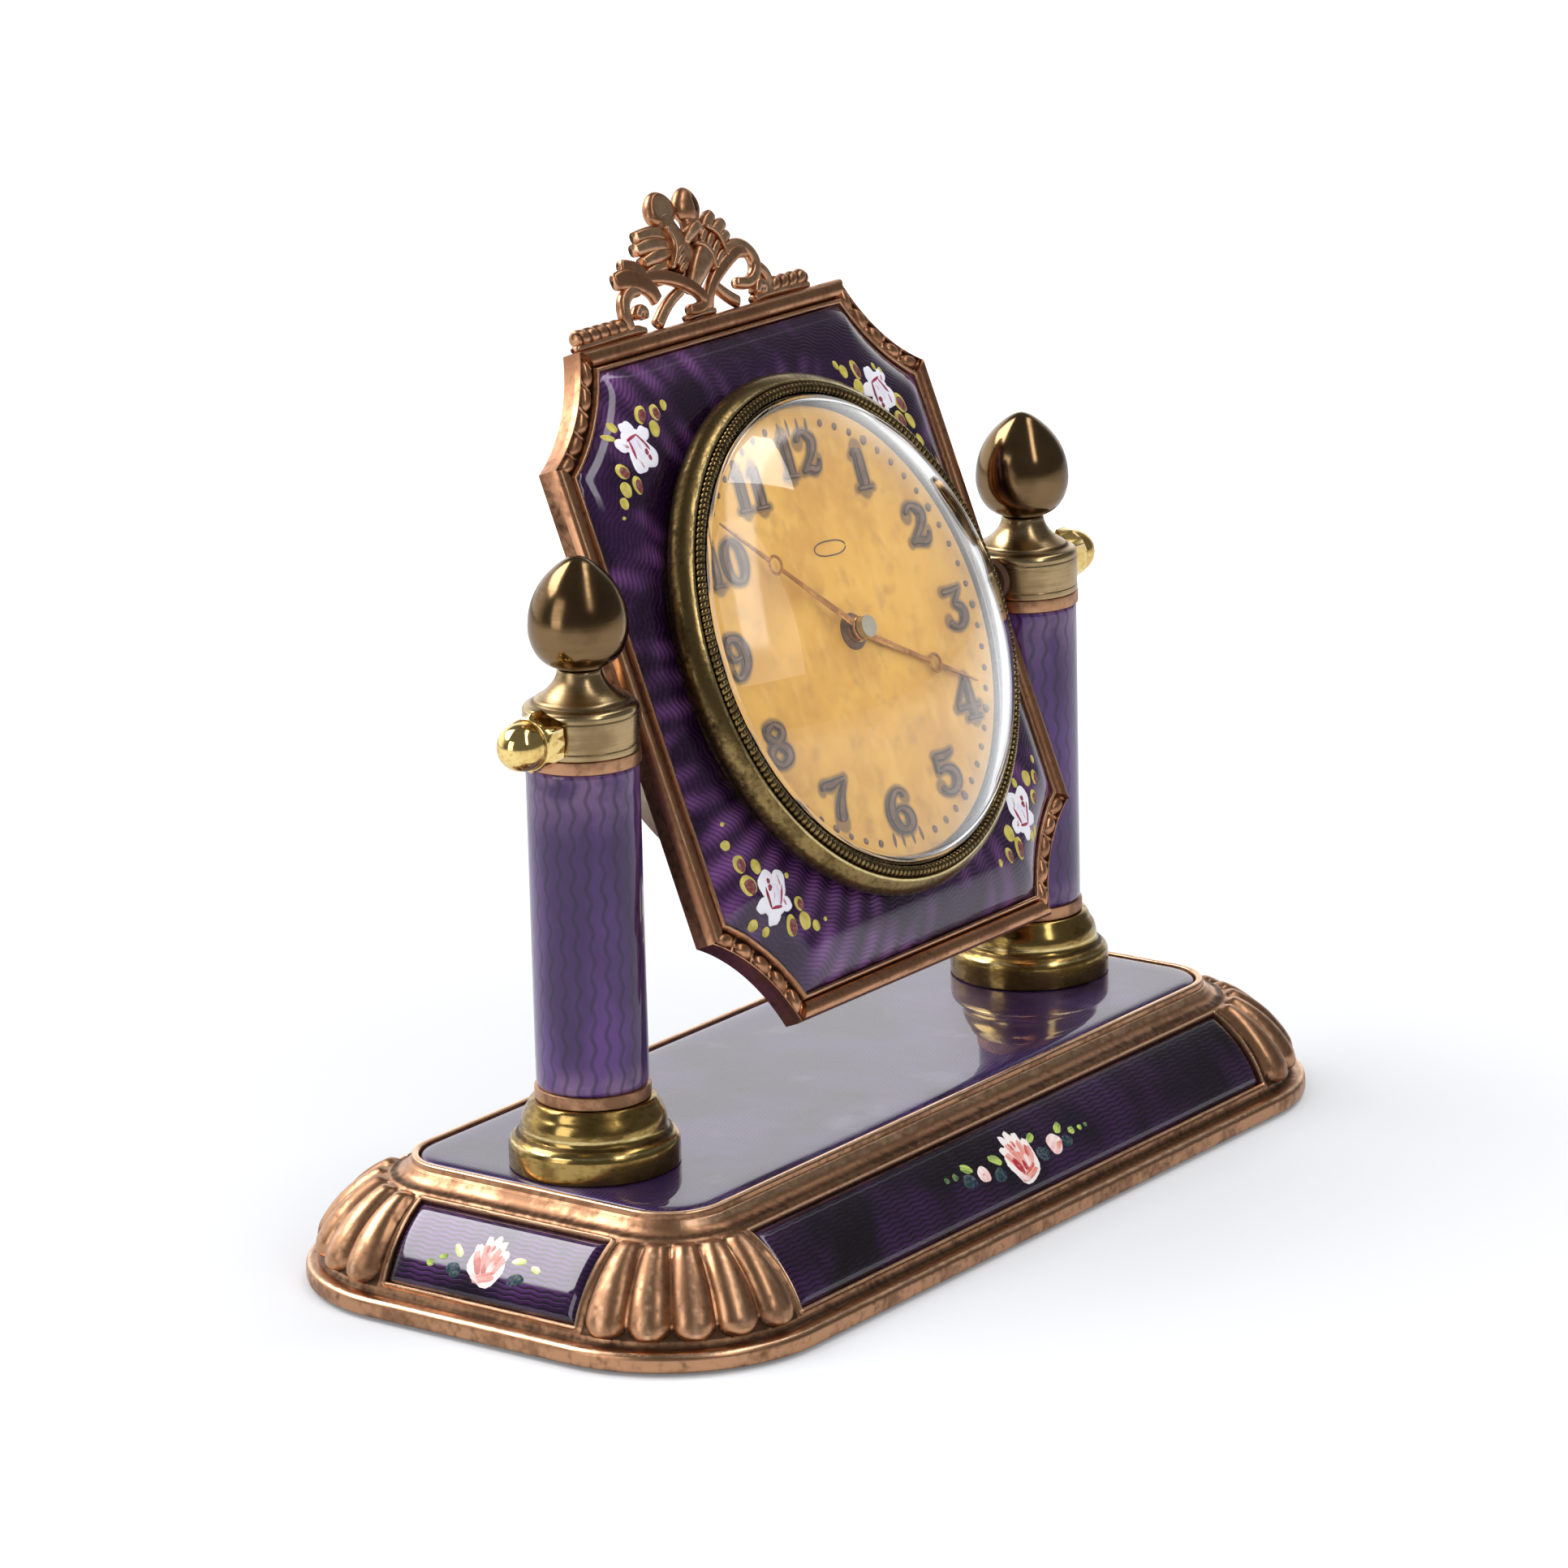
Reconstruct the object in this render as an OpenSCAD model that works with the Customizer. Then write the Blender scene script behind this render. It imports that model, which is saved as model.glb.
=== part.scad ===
// Table clock: an enamelled eight-sided head swings like a mirror between two posts on a base.
// +X is to the right seen from the front, +Y is to the back and +Z is up; the dial faces -Y.
// The origin lies on the table under the middle of the base. All sizes are millimetres.

/* [Base] */
// Distance between the axes of the two posts
post_gap = 80; // [80:1:92]
// Length of base beyond each post axis
base_over = 22; // [20:1:26]
// Depth of the base at the table
base_d = 61.6; // [56:0.2:70]
// Top of the base above the table
base_h = 13.4; // [12.6:0.2:15]
// Corner radius of the base at the table
base_r = 18; // [17:0.5:20]
// How far the top plate stands in from the table edge
flank_in = 11.4; // [10.8:0.2:12.4]
// Gap between the table and the copper rim
stand_off = 0.4; // [0.3:0.1:0.8]
// Top of the upright rim band
rim_top = 2.3; // [2.1:0.1:2.6]
// Thickness of the enamelled plates set in the base
enamel_t = 0.7; // [0.5:0.1:0.9]

/* [Posts] */
// Largest radius of the brass foot
foot_r = 8.9; // [8:0.1:9.5]
// Height of the brass foot
foot_h = 7.2; // [6.6:0.2:8.4]
// Radius of the copper ferrules
ferrule_r = 6.05; // [5.95:0.05:6.3]
// Height of a copper ferrule
ferrule_h = 1.4; // [1:0.1:2]
// Outer radius of the enamelled sleeve
sleeve_r = 5.85; // [5.6:0.05:5.9]
// Length of the enamelled sleeve
sleeve_h = 34.1; // [34:0.2:44]
// Radius of the brass cap at the pivot
cap_r = 6; // [5.8:0.1:6.3]
// Height of the straight part of the cap
cap_h = 4.6; // [4.4:0.1:5.4]
// Height of the neck between cap and finial
neck_h = 4; // [3.6:0.2:5]
// Largest radius of the bud finial
bulb_r = 5.15; // [4.6:0.05:5.6]
// Radius of the tie rod through a post
rod_r = 1.45; // [1.2:0.05:1.6]
// Width across flats of the small hexagon nuts
nut_af = 5.5; // [5:0.1:5.6]

/* [Head] */
// Gap between the head and each cap
side_gap = 1.2; // [1.1:0.1:2]
// Height of the eight-sided head
plaque_h = 73.2; // [70:0.2:76]
// Width of the copper rails
rail_w = 2.7; // [2.4:0.1:3]
// Half length of the straight top rail
top_half = 23.1; // [21:0.1:24]
// Half length of the straight side rail
side_half = 25.6; // [24:0.1:26]
// How far the hollow corners bow in
corner_bow = 1.4; // [1.2:0.1:1.8]
// Lean of the head away from upright in the rest pose
tilt = 21.3; // [0:0.1:40]
// Rise of the domed enamel above the rails
dome_h = 2.4; // [2:0.1:2.8]
// Distance of the tilt axis behind the rail plane
axis_back = 1.34; // [1.2:0.02:1.5]
// Height of the openwork crest
crest_h = 14; // [13:0.5:16]

/* [Dial] */
// Outer radius of the bezel
bezel_r = 27.8; // [27:0.1:28.4]
// Radius of the dial plate
dial_r = 24.7; // [24:0.1:24.8]
// Rise of the domed glass
glass_h = 9.5; // [8:0.5:11]
// Minute hand angle clockwise from twelve
minute_at = 309; // [0:1:359]
// Hour hand angle clockwise from twelve
hour_at = 115.75; // [0:0.25:359]
// Length of the minute hand
minute_len = 22.4; // [20:0.2:23]
// Length of the hour hand
hour_len = 18; // [14:0.2:19]

/* [Movement] */
// Outer radius of the movement case
case_r = 24; // [24:0.1:24.2]
// Depth of the movement case behind the rail plane
case_back_w = 13; // [12.6:0.2:15]
// Radius of the hand arbor
arbor_r = 0.5; // [0.4:0.05:0.5]

/* [Fits] */
// Radial clearance of a turning fit
run_fit = 0.05; // [0.03:0.01:0.1]
// Radial clearance of a fixed fit
seat_fit = 0.05; // [0.03:0.01:0.08]

/* [Hidden] */
$fn = 64;

copper = [0.55, 0.33, 0.22];
brass = [0.62, 0.52, 0.30];
gilt = [0.86, 0.68, 0.30];
violet = [0.23, 0.14, 0.31];
steel = [0.62, 0.63, 0.65];

base_l = post_gap + 2 * base_over;
ax = base_l / 2;
ay = base_d / 2;
px = post_gap / 2;
deck_z = base_h - enamel_t - 0.1;
deck_t = 1.2;
cover_z = stand_off + 0.6;
cover_t = 1.2;
wall_in = 1.8;
// The flank is an arc bulging outwards from its foot to the cove; x is measured from the corner centre.
fx0 = base_r - 2;
fz0 = rim_top + 0.9;
fx1 = base_r - flank_in + 2.4;
fz1 = base_h - 2.3;
bow = 1.1;
flen = sqrt(pow(fx0 - fx1, 2) + pow(fz1 - fz0, 2));
frad = flen * flen / (8 * bow) + bow / 2;
fnx = (fz1 - fz0) / flen;
fnz = (fx0 - fx1) / flen;
fcx = (fx0 + fx1) / 2 - (frad - bow) * fnx;
fcz = (fz0 + fz1) / 2 - (frad - bow) * fnz;
fa0 = atan2(fz0 - fcz, fx0 - fcx);
fa1 = atan2(fz1 - fcz, fx1 - fcx);
flute_r = fx0 * 0.152;
boss_x = ax - flank_in - 3.6;
boss_y = ay - flank_in - 3.6;
inner_z = cover_z + cover_t + 0.05;

z_foot = base_h;
z_low = z_foot + foot_h;
z_sleeve = z_low + ferrule_h;
z_up = z_sleeve + sleeve_h;
z_cap = z_up + ferrule_h;
z_neck = z_cap + cap_h;
z_bulb = z_neck + neck_h;
pivot_z = z_cap + cap_h / 2;
spigot_r = sleeve_r - 1.1;
bore_r = spigot_r + seat_fit;
pin_r = 1.5;
tip_r = 0.9;
spot = cap_r - 0.3;
nut_collar = ferrule_r + 0.05 - spot;

hw = px - cap_r - side_gap;
hh = plaque_h / 2;
iw = hw - rail_w;
ih = hh - rail_w;
// Each hollow corner is an arc round a centre outside the head.
cut_c = sqrt(pow(hw - top_half, 2) + pow(hh - side_half, 2));
arc_r = cut_c * cut_c / (8 * corner_bow) + corner_bow / 2;
arc_x = (hw + top_half) / 2 + (arc_r - corner_bow) * (hh - side_half) / cut_c;
arc_y = (hh + side_half) / 2 + (arc_r - corner_bow) * (hw - top_half) / cut_c;
frame_back = 2.4;
lip_w = -0.5;
edge_fit = 0.05;
edge_arc = (6 * 6 + dome_h * dome_h) / (2 * dome_h);
skirt_out = 24.9;
hole_r = skirt_out + seat_fit;
case_in = case_r - 0.8;
plate_r = case_in - seat_fit;
dial_w = 4.2;
rear_w = -10;
train_r = 0.35;
// Places of the arbors in the movement, right and up from the dial centre.
bar_at = [-10.15, -3.69];
third_at = [4.05, 7.01];
fourth_at = [10.89, 5.8];
esc_at = [12.96, 0.11];
lev_at = [13.86, -5.01];
bal_at = [5.5, -10.5];
mw_at = [-2.05, -5.64];
pillar_at = 14.5;

// Rounded rectangle with half sizes a and b and corner radius r.
module rrect(a, b, r) {
  square([2 * a, 2 * (b - r)], center = true);
  square([2 * (a - r), 2 * b], center = true);
  for (i = [-1, 1], j = [-1, 1]) translate([i * (a - r), j * (b - r)]) circle(r);
}

// Carries a section round the base: its x runs out from the corner centre and its y is height.
module around_base() {
  cx = ax - base_r;
  cy = ay - base_r;
  for (k = [0:3]) {
    s = k % 2 == 0 ? 1 : 0;
    out = s == 1 ? cx : cy;
    run = s == 1 ? cy : cx;
    rotate([0, 0, 90 * k]) {
      translate([out, run, 0]) rotate_extrude(angle = 90) children();
      translate([out, run, 0]) rotate([90, 0, 0]) linear_extrude(2 * run) children();
    }
  }
}

// Wedge of the flank circle between two angles.
module flank_wedge(a0, a1) {
  translate([fcx, fcz]) polygon([[0, 0], [2 * frad * cos(a0), 2 * frad * sin(a0)],
    [2 * frad * cos((a0 + a1) / 2), 2 * frad * sin((a0 + a1) / 2)], [2 * frad * cos(a1), 2 * frad * sin(a1)]]);
}

// Wall section of the base: rim band, bulging flank, cove and the edge of the top.
module wall_section() {
  difference() {
    union() {
      polygon([[base_r, stand_off], [base_r, rim_top - 0.3], [base_r - 0.3, rim_top],
        [base_r - 1.4, rim_top + 0.3], [fx0 + 0.2, fz0 - 0.2], [fx0, fz0], [fx1, fz1],
        [fx1 - 0.2, fz1 + 0.2], [fx1 - 0.9, fz1 + 0.5], [fx1 - 1.7, fz1 + 0.9],
        [base_r - flank_in, base_h - 0.7], [base_r - flank_in, base_h],
        [base_r - flank_in - 0.9, base_h], [base_r - flank_in - 0.9, deck_z - deck_t],
        [base_r - wall_in, stand_off]]);
      intersection() {
        translate([fcx, fcz]) circle(frad);
        flank_wedge(fa0, fa1);
      }
    }
    intersection() {
      union() {
        translate([fcx, fcz]) circle(frad - 1.9);
        translate([-base_r, -base_h]) square([2 * base_r - wall_in, base_h + fz0 - 0.4]);
      }
      translate([-base_r, -base_h]) square([2 * base_r - wall_in, base_h + deck_z - deck_t]);
    }
  }
}

module panel_section(lo, hi) {
  intersection() {
    translate([fcx, fcz]) difference() {
      circle(frad + hi);
      circle(frad - lo);
    }
    flank_wedge(fa0 + 2.6, fa1 - 2.6);
  }
}

module flank_panel(k, lo, hi, back) {
  cx = ax - base_r;
  cy = ay - base_r;
  out = k % 2 == 0 ? cx : cy;
  run = (k % 2 == 0 ? cy : cx) - 0.5 - back;
  rotate([0, 0, 90 * k]) translate([out, run, 0]) rotate([90, 0, 0])
    linear_extrude(2 * run) panel_section(lo, hi);
}

// Five fat flutes fan round each corner, wide at the rim and narrow under the top.
module corner_flutes() {
  for (k = [0:3]) {
    out = k % 2 == 0 ? ax - base_r : ay - base_r;
    run = k % 2 == 0 ? ay - base_r : ax - base_r;
    rotate([0, 0, 90 * k]) translate([out, run, 0]) for (i = [0:4])
      rotate([0, 0, 9 + 18 * i]) translate([fx0 - 0.9, 0, fz0 + 0.2])
        rotate([0, -atan2(fx0 - fx1, fz1 - fz0), 0]) cylinder(h = flen - 1, r1 = flute_r, r2 = flute_r * 0.56);
  }
}

module base_frame() {
  color(copper) difference() {
    union() {
      around_base() wall_section();
      translate([0, 0, deck_z - deck_t]) linear_extrude(deck_t)
        rrect(ax - flank_in - 0.2, ay - flank_in - 0.2, base_r - flank_in - 0.2);
      corner_flutes();
      for (i = [-1, 1], j = [-1, 1]) translate([i * boss_x, j * boss_y, cover_z])
        cylinder(h = deck_z - 0.4 - cover_z, r = 2.2);
    }
    translate([0, 0, -1]) linear_extrude(1 + inner_z) rrect(ax - wall_in, ay - wall_in, base_r - wall_in);
    for (k = [0:3]) flank_panel(k, enamel_t, 0.6, 0);
    for (i = [-1, 1], j = [-1, 1]) translate([i * boss_x, j * boss_y, cover_z]) cylinder(h = 6, r = 0.8);
    for (i = [-1, 1]) translate([i * px, 0, deck_z - deck_t - 1]) cylinder(h = deck_t + 2, r = rod_r + 0.15);
  }
}

module base_top_enamel() {
  e = flank_in + 0.9 + seat_fit;
  color(violet) translate([0, 0, deck_z]) difference() {
    linear_extrude(base_h - deck_z) rrect(ax - e, ay - e, base_r - e);
    for (i = [-1, 1]) translate([i * px, 0, -1]) cylinder(h = 3, r = rod_r + 0.25);
  }
}

module enamel_front() { color(violet) flank_panel(3, enamel_t, -0.02, 0.05); }
module enamel_back() { color(violet) flank_panel(1, enamel_t, -0.02, 0.05); }
module enamel_left() { color(violet) flank_panel(2, enamel_t, -0.02, 0.05); }
module enamel_right() { color(violet) flank_panel(0, enamel_t, -0.02, 0.05); }

module base_cover() {
  e = wall_in + 0.1;
  color(steel) translate([0, 0, cover_z]) difference() {
    linear_extrude(cover_t) rrect(ax - e, ay - e, base_r - e);
    for (i = [-1, 1], j = [-1, 1]) translate([i * boss_x, j * boss_y, -1]) cylinder(h = 4, r = 1);
  }
}

module base_felt() {
  e = wall_in + 0.8;
  color([0.16, 0.10, 0.20]) difference() {
    linear_extrude(cover_z) rrect(ax - e, ay - e, base_r - e);
    for (i = [-1, 1], j = [-1, 1]) translate([i * boss_x, j * boss_y, -1]) cylinder(h = 4, r = 2.1);
  }
}

module cover_screws() {
  color(brass) for (i = [-1, 1], j = [-1, 1]) translate([i * boss_x, j * boss_y, 0]) {
    difference() {
      translate([0, 0, cover_z - 0.6]) cylinder(h = 0.6, r = 1.7);
      translate([-2, -0.2, cover_z - 0.7]) cube([4, 0.4, 0.4]);
    }
    cylinder(h = cover_z + 4, r = 0.78);
  }
}

// Posts. Each is a stack of rings round a tie rod, drawn with the origin at its foot.
module on_post(i) { translate([i * px, 0, 0]) children(); }

module post_foot() {
  color(brass) difference() {
    union() {
      rotate_extrude() translate([0, z_foot]) polygon([[0, 0], [foot_r, 0], [foot_r, foot_h * 0.40],
        [foot_r - 0.3, foot_h * 0.46], [foot_r - 0.75, foot_h * 0.47], [foot_r - 1, foot_h * 0.51],
        [foot_r - 0.8, foot_h * 0.55], [foot_r - 0.8, foot_h * 0.62], [foot_r - 1.1, foot_h * 0.70],
        [foot_r - 1.7, foot_h * 0.78], [foot_r - 2, foot_h * 0.88], [foot_r - 2.3, foot_h * 0.97],
        [foot_r - 2.6, foot_h], [0, foot_h]]);
      translate([0, 0, z_low - 0.5]) cylinder(h = ferrule_h + 3.5, r = spigot_r);
    }
    translate([0, 0, z_foot - 1]) cylinder(h = foot_h + ferrule_h + 6, r = rod_r + 0.1);
  }
}
module foot_left() { on_post(-1) post_foot(); }
module foot_right() { on_post(1) post_foot(); }

module ring(h, r, b) {
  difference() {
    cylinder(h = h, r = r);
    translate([0, 0, -1]) cylinder(h = h + 2, r = b);
  }
}

module lower_ferrule_left() { color(copper) on_post(-1) translate([0, 0, z_low]) ring(ferrule_h, ferrule_r, bore_r); }
module lower_ferrule_right() { color(copper) on_post(1) translate([0, 0, z_low]) ring(ferrule_h, ferrule_r, bore_r); }
module sleeve_left() { color(violet) on_post(-1) translate([0, 0, z_sleeve]) ring(sleeve_h, sleeve_r, bore_r); }
module sleeve_right() { color(violet) on_post(1) translate([0, 0, z_sleeve]) ring(sleeve_h, sleeve_r, bore_r); }
module upper_ferrule_left() { color(copper) on_post(-1) translate([0, 0, z_up]) ring(ferrule_h, ferrule_r, bore_r); }
module upper_ferrule_right() { color(copper) on_post(1) translate([0, 0, z_up]) ring(ferrule_h, ferrule_r, bore_r); }

// Cap with the cross hole for the pivot screw; a spigot below holds the sleeve and the tie rod.
module post_cap(side) {
  color(brass) difference() {
    union() {
      rotate_extrude() translate([0, z_cap]) polygon([[0, 0], [cap_r, 0], [cap_r, cap_h],
        [cap_r - 0.2, cap_h + 0.3], [cap_r - 0.9, cap_h + 0.5], [cap_r - 1.8, cap_h + neck_h * 0.25],
        [cap_r - 2.7, cap_h + neck_h * 0.43], [cap_r - 3.4, cap_h + neck_h * 0.62],
        [cap_r - 3.7, cap_h + neck_h * 0.82], [cap_r - 3.7, cap_h + neck_h], [0, cap_h + neck_h]]);
      translate([0, 0, z_cap - ferrule_h - 3]) cylinder(h = ferrule_h + 3.5, r = spigot_r);
    }
    translate([-cap_r - 1, 0, pivot_z]) rotate([0, 90, 0]) cylinder(h = 2 * cap_r + 2, r = pin_r + seat_fit);
    translate([0, 0, z_cap - 8]) cylinder(h = 8.2, r = rod_r + 0.02);
    translate([0, 0, z_neck + 0.6]) cylinder(h = neck_h, r = 1.02);
    translate([side > 0 ? spot : -spot - 2, -4, pivot_z - 4]) cube([2, 8, 8]);
  }
}
module cap_left() { on_post(-1) post_cap(-1); }
module cap_right() { on_post(1) post_cap(1); }

module post_finial() {
  k = bulb_r / 5.15;
  color([0.45, 0.37, 0.24]) translate([0, 0, z_bulb]) {
    rotate_extrude() polygon([[0, 0], [2.3 * k, 0], [3.2 * k, 0.15], [4.15 * k, 0.9], [4.8 * k, 1.9],
      [5.12 * k, 3.2], [5.15 * k, 4.4], [5.0 * k, 5.7], [4.7 * k, 6.9], [4.04 * k, 8.2],
      [3.1 * k, 9.5], [1.85 * k, 10.7], [0.9 * k, 11.25], [0, 11.5]]);
    translate([0, 0, 0.8 - neck_h]) cylinder(h = neck_h, r = 1);
  }
}
module finial_left() { on_post(-1) post_finial(); }
module finial_right() { on_post(1) post_finial(); }

module tie_rods() {
  for (i = [-1, 1]) color(steel) on_post(i) translate([0, 0, deck_z - deck_t - 4.6])
    cylinder(h = z_cap - 0.1 - (deck_z - deck_t - 4.6), r = rod_r);
}
module tie_washers() {
  for (i = [-1, 1]) color(brass) on_post(i) translate([0, 0, deck_z - deck_t - 0.6]) ring(0.6, 3.4, rod_r + 0.1);
}
module hex_nut(h, b) {
  difference() {
    cylinder(h = h, d = nut_af / cos(30), $fn = 6);
    translate([0, 0, -1]) cylinder(h = h + 2, r = b);
  }
}
module tie_nuts() {
  for (i = [-1, 1]) color(steel) on_post(i) translate([0, 0, deck_z - deck_t - 3]) hex_nut(2.4, rod_r + 0.02);
}

// Pivot screw: its shank is fixed in the cap and its thin tip carries the head.
module pivot_screws() {
  for (i = [-1, 1]) color(steel) mirror([i < 0 ? 1 : 0, 0, 0]) translate([0, 0, pivot_z]) rotate([0, 90, 0]) {
    translate([0, 0, hw - 1.6]) cylinder(h = side_gap + 2, r = tip_r);
    translate([0, 0, px - cap_r]) cylinder(h = cap_r + spot + 3.6, r = pin_r);
  }
}
module dome_nuts() {
  for (i = [-1, 1]) color(gilt) mirror([i < 0 ? 1 : 0, 0, 0]) translate([px + spot, 0, pivot_z])
    rotate([0, 90, 0]) difference() {
      union() {
        cylinder(h = nut_collar + 0.1, r = min(nut_af / 2 - 0.5, pivot_z - z_cap - 0.05));
        translate([0, 0, nut_collar]) cylinder(h = 3.2 - nut_collar, d = nut_af / cos(30), $fn = 6);
        translate([0, 0, 4.2]) sphere(nut_af / 2 - 0.25);
        translate([0, 0, 3]) cylinder(h = 1.2, r = nut_af / 2 - 0.25);
      }
      translate([0, 0, -1]) cylinder(h = 4.8, r = pin_r + 0.02);
    }
}
module friction_washers() {
  for (i = [-1, 1]) color([0.30, 0.22, 0.16]) mirror([i < 0 ? 1 : 0, 0, 0])
    translate([hw + 0.1, 0, pivot_z]) rotate([0, 90, 0]) ring(side_gap - 0.15, 2.3, tip_r + run_fit);
}

// Everything on the head is drawn upright round the tilt axis and then leaned back.
module on_head() { translate([0, 0, pivot_z]) rotate([-tilt, 0, 0]) children(); }
// Moves a piece drawn right, up and towards the viewer to its height w before the rail plane.
module at_w(w) { translate([0, -(w + axis_back), 0]) rotate([90, 0, 0]) children(); }

// Eight-sided outline with hollow corners, shrunk by e from the outer edge.
module eight(e) {
  difference() {
    square([2 * (hw - e), 2 * (hh - e)], center = true);
    for (i = [-1, 1], j = [-1, 1]) translate([i * arc_x, j * arc_y]) circle(arc_r + e);
  }
}

module plaque_frame() {
  color(copper) on_head() difference() {
    union() {
      at_w(-frame_back) linear_extrude(frame_back - 0.9) eight(0);
      at_w(-1) linear_extrude(1.2) eight(0.35);
      at_w(0.1) linear_extrude(0.45) eight(0.75);
    }
    at_w(-frame_back - 1) linear_extrude(frame_back + 1 + lip_w) eight(rail_w - 0.55);
    at_w(-1) linear_extrude(3) eight(rail_w);
    at_w(0) linear_extrude(2) eight(rail_w - 0.7);
    for (i = [-1, 1]) rotate([0, i * 90, 0]) translate([0, 0, hw - 1.9]) cylinder(h = 4, r = tip_r + run_fit);
  }
}

module crest() {
  y0 = hh;
  k = crest_h / 14;
  color(copper) on_head() {
    at_w(-2) linear_extrude(1.8) translate([0, y0]) scale([1, k]) {
      translate([-2.5, 12.2]) circle(1.9);
      translate([2.4, 11.9]) circle(2);
      polygon([[-3.4, 10.6], [3.8, 10], [2.4, 6], [-1.6, 6]]);
      polygon([[1.6, 9.3], [4.2, 10.9], [7.5, 9.8], [7.4, 8.8], [6.5, 7.1], [3.8, 6.8]]);
      polygon([[-8.1, 9.5], [-7.9, 7.4], [-7.3, 5.4], [-1.6, 3.6], [-1.4, 8]]);
      polygon([[-1.6, 8], [2.2, 9.3], [4, 7.5], [0.2, 3.2], [-2, 3.6]]);
      polygon([[-13, 6.5], [-10.7, 7.5], [-7.3, 6.2], [-1, 4.3], [0.2, 1.4], [0, 0], [-3, 0], [-2.6, 2], [-7.5, 4.2], [-11.5, 5]]);
      polygon([[-9.5, 0], [-7, 0], [-3, 2.4], [-3, 3.6], [-5, 3.6]]);
      polygon([[-0.2, 0], [1.4, 0], [5.2, 3.6], [8.2, 5.9], [7.6, 6.9], [4.2, 5.4], [-0.6, 3.2]]);
      polygon([[10.5, 4.1], [11.7, 1.6], [10.9, 0], [8.6, 0], [8.9, 1.5], [9.2, 3]]);
      polygon([[2.4, 2.6], [3.4, 3], [6.8, 0], [4.8, 0]]);
      difference() {
        union() {
          translate([-12, 3.4]) circle(2.6);
          translate([7.3, 3.7]) circle(3.2);
        }
        translate([-12, 3.6]) circle(1);
        translate([7.1, 3.6]) circle(1.7);
      }
    }
    for (u = [[-22.7, 9.7], [10.4, 8.3]]) translate([u[0], 1 - axis_back, y0 + 1.05])
      rotate([0, 90, 0]) cylinder(h = u[1], r = 1.05);
  }
}

// Enamelled plate: a flat border held under the lip, then a dome with a rounded shoulder.
module plaque_enamel() {
  color(violet) on_head() difference() {
    union() {
      at_w(-1.1) linear_extrude(1.1 + lip_w) eight(rail_w - 0.5);
      difference() {
        at_w(-1) linear_extrude(1 + dome_h) eight(rail_w + edge_fit);
        for (i = [-1, 1]) {
          translate([i * (iw - 6), 0, 0]) rotate([0, 0, i > 0 ? 0 : 180]) shoulder_cut(2 * hh);
          rotate([0, 90, 0]) translate([i * (ih - 6), 0, 0]) rotate([0, 0, i > 0 ? 0 : 180]) shoulder_cut(2 * hw);
          for (j = [-1, 1]) at_w(0) translate([i * arc_x, j * arc_y, 0]) rotate_extrude() difference() {
            translate([arc_r, 0]) square([rail_w + edge_fit + 6, dome_h + 1]);
            translate([arc_r + rail_w + edge_fit + 6, dome_h - edge_arc]) circle(edge_arc);
          }
        }
      }
    }
    at_w(-3) cylinder(h = 9, r = hole_r);
  }
}
// Cuts away what stands above the rounded shoulder; the rise ends six millimetres in from the rail.
module shoulder_cut(len) {
  m = axis_back + dome_h;
  translate([0, 0, -len / 2]) linear_extrude(len) for (s = [0, 1]) mirror([0, 0]) difference() {
    translate([0, -m - 1]) square([8, dome_h + 1.2]);
    translate([0, edge_arc - m]) circle(edge_arc);
  }
}

module back_plate() {
  color(copper) on_head() at_w(-frame_back) difference() {
    linear_extrude(frame_back - 1.1) eight(rail_w - 0.5);
    translate([0, 0, -1]) cylinder(h = 4, r = hole_r);
  }
}
module retaining_ring() {
  color(brass) on_head() at_w(-frame_back - 1.3) difference() {
    ring(1.3, bezel_r, skirt_out + 0.02);
    for (i = [-1, 1]) translate([i * (bezel_r - 0.4) - 0.6, -0.6, -1]) cube([1.2, 1.2, 4]);
  }
}

module bezel() {
  color(brass) on_head() at_w(0) {
    rotate_extrude() polygon([[case_r + 0.02, -frame_back - 1.3], [skirt_out, -frame_back - 1.3],
      [skirt_out, dome_h], [bezel_r, dome_h], [bezel_r, 5], [bezel_r - 0.4, 5.7], [bezel_r - 0.9, 6.1],
      [bezel_r - 2.3, 6.1], [bezel_r - 2.3, 5.2], [24.6, 5.2], [24.6, 4.9], [25.1, 4.9], [25.1, 3.4],
      [case_r + 0.02, 3.4]]);
    rotate_extrude() translate([bezel_r - 1.6, 6.1]) circle(0.5);
  }
}

module crystal() {
  rg = bezel_r - 2.4;
  ro = (rg * rg + glass_h * glass_h) / (2 * glass_h);
  color([0.9, 0.95, 0.98, 0.3]) on_head() at_w(5.25) difference() {
    translate([0, 0, glass_h - ro]) sphere(ro, $fn = 96);
    translate([0, 0, glass_h - ro]) sphere(ro - 1.2, $fn = 96);
    translate([-60, -60, -160]) cube([120, 120, 160]);
  }
}

module dial() {
  color(gilt) on_head() {
    at_w(dial_w - 0.5) ring(0.5, dial_r, 1.7);
    at_w(0.4) for (i = [-1, 1]) translate([i * 19, 0, 0]) cylinder(h = 3.5, r = 0.6);
  }
}

module movement_case() {
  color(brass) on_head() at_w(-case_back_w) difference() {
    cylinder(h = case_back_w + dial_w - 0.5, r = case_r);
    translate([0, 0, -1]) cylinder(h = case_back_w + dial_w + 2, r = case_in);
  }
}
module case_back() {
  color(brass) on_head() difference() {
    union() {
      at_w(-case_back_w - 0.8) cylinder(h = 0.8, r = case_r);
      at_w(-case_back_w) ring(1.6, case_in - seat_fit, case_in - 0.9);
    }
    at_w(-case_back_w - 2) cylinder(h = 4, r = arbor_r + 0.4);
    at_w(-case_back_w - 2) translate([bar_at[0], bar_at[1], 0]) cylinder(h = 4, r = 1.6);
  }
}

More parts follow.
